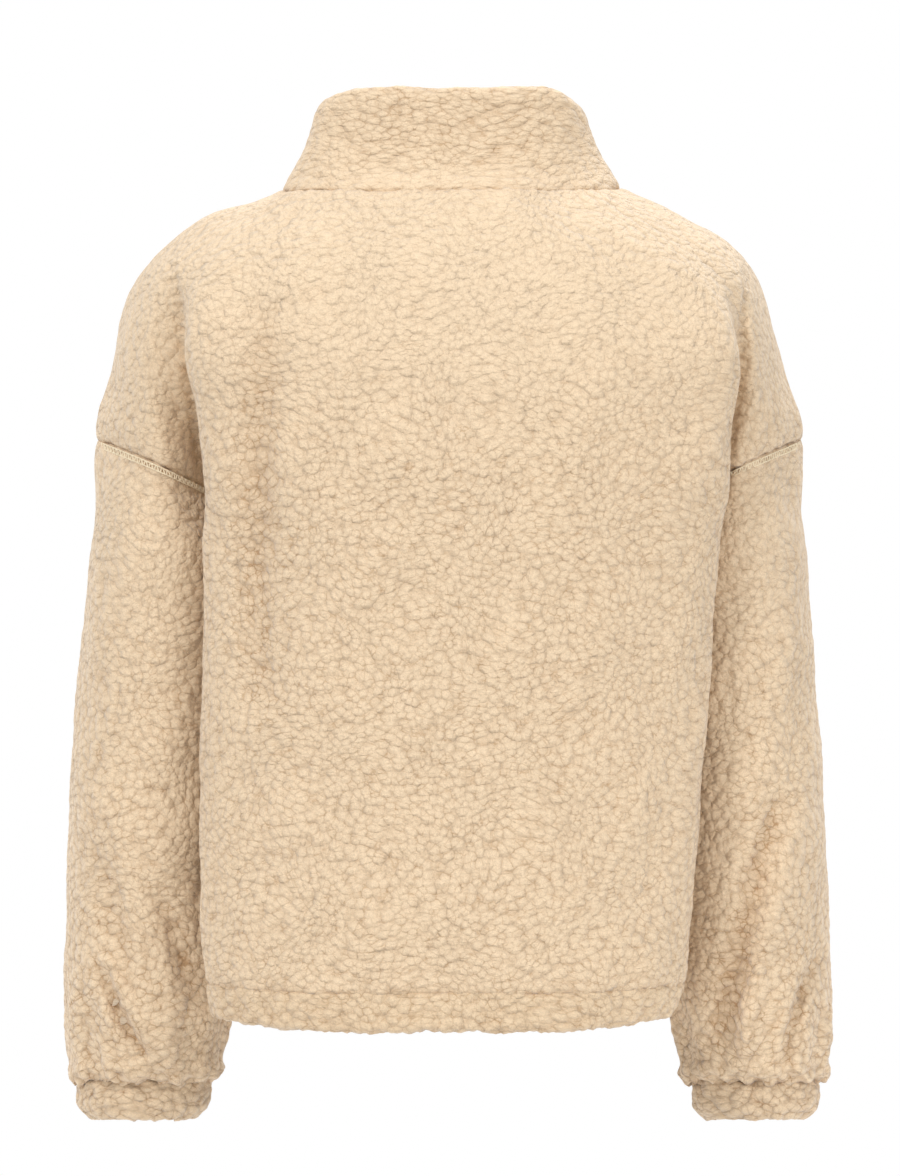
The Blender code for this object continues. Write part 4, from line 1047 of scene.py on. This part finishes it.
# The slider, its pull tab and the box at the foot. They are cast metal with a soft brushed shine and keep
# the form of their solids. The tab hangs by its axle from the bail on the slider.
cast, tree, metal_shader = new_finish("cast_metal", 0.35, (0.60, 0.57, 0.52))
metal_shader.inputs["Metallic"].default_value = 1.0
place = wire(tree, "ShaderNodeTexCoord", {}, {})["Object"]
grain = wire(tree, "ShaderNodeTexNoise", {}, {"Vector": place, "Scale": 2600.0, "Detail": 3.0})["Fac"]
tree.links.new(ramp(tree, grain, 0.3, 0.7, 0.30, 0.40), metal_shader.inputs["Roughness"])
for node in ("zip_slider", "zip_pull", "zip_box"):
    hard_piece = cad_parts[node]
    hard_piece.data.materials.clear()
    hard_piece.data.materials.append(cast)

# The room. A pale floor that fades into white round the jacket, and soft lamps behind, before and above it.
FLOOR_Z = -0.72
bpy.ops.mesh.primitive_circle_add(vertices=96, radius=6.0, fill_type="NGON", location=(0, 0, FLOOR_Z))
floor = bpy.context.object
floor.name = "floor"
floor_paint, tree, paint = new_finish("floor_paint", 0.9, (0.90, 0.90, 0.90))
place = wire(tree, "ShaderNodeTexCoord", {}, {})["Object"]
reach = wire(tree, "ShaderNodeVectorMath", {"operation": "LENGTH"}, {0: place})["Value"]
tree.links.new(ramp(tree, reach, 0.5, 2.2, 1.0, 0.0), paint.inputs["Alpha"])
floor.data.materials.append(floor_paint)

room = bpy.data.worlds.new("room")
bpy.context.scene.world = room
room.use_nodes = True
tree = room.node_tree
sky = tree.nodes["Background"]
sky.inputs["Color"].default_value = (1.0, 0.985, 0.96, 1)
sky.inputs["Strength"].default_value = 0.56
seen = wire(tree, "ShaderNodeBackground", {}, {"Color": (1, 1, 1, 1), "Strength": 1.0})["Background"]
ray = wire(tree, "ShaderNodeLightPath", {}, {})["Is Camera Ray"]
mixed = wire(tree, "ShaderNodeMixShader", {}, {0: ray, 1: sky.outputs["Background"], 2: seen})
tree.links.new(mixed["Shader"], tree.nodes["World Output"].inputs["Surface"])

AIM = np.array([0.0, 0.0, -0.27])
Lamp = namedtuple("Lamp", "name x y z size power")
LAMPS = [
    Lamp("key", 1.9, 2.9, 2.8, 0.9, 88.0),
    Lamp("fill", -2.4, 3.0, 1.2, 1.8, 46.0),
    Lamp("front_key", -1.7, -2.9, 2.6, 1.0, 84.0),
    Lamp("front_fill", 2.2, -2.6, 0.9, 1.8, 30.0),
    Lamp("top", 0.2, 0.2, 3.0, 2.0, 26.0),
]
for lamp in LAMPS:
    light = bpy.data.lights.new(lamp.name, "AREA")
    light.size = lamp.size
    light.energy = lamp.power
    holder = in_scene(lamp.name, light)
    holder.location = (lamp.x, lamp.y, lamp.z)
    toward = AIM - np.array([lamp.x, lamp.y, lamp.z])
    pitch = math.atan2(np.hypot(toward[0], toward[1]), -toward[2])
    holder.rotation_euler = (pitch, 0, math.atan2(toward[1], toward[0]) - math.pi / 2)

# The camera. It stands far behind the jacket, level with its middle. Its frame is as high as the photo's
# 1176 rows of 0.68 mm each, at the depth where the outline of the sleeves lies.
PHOTO_ROWS = 1176
PHOTO_ROW = 0.00068
CAMERA_DISTANCE = 20.0
OUTLINE_Y = -0.02
FRAME_MIDDLE = (0.0007, -0.2706)
camera_data = bpy.data.cameras.new("camera")
camera_data.sensor_width = 36.0
camera_data.lens = camera_data.sensor_width * (CAMERA_DISTANCE - OUTLINE_Y) / (PHOTO_ROWS * PHOTO_ROW)
camera = in_scene("camera", camera_data)
camera.location = (FRAME_MIDDLE[0], CAMERA_DISTANCE, FRAME_MIDDLE[1])
camera.rotation_euler = (math.pi / 2, 0, math.pi)
bpy.context.scene.camera = camera
bpy.context.scene.view_settings.view_transform = "Standard"
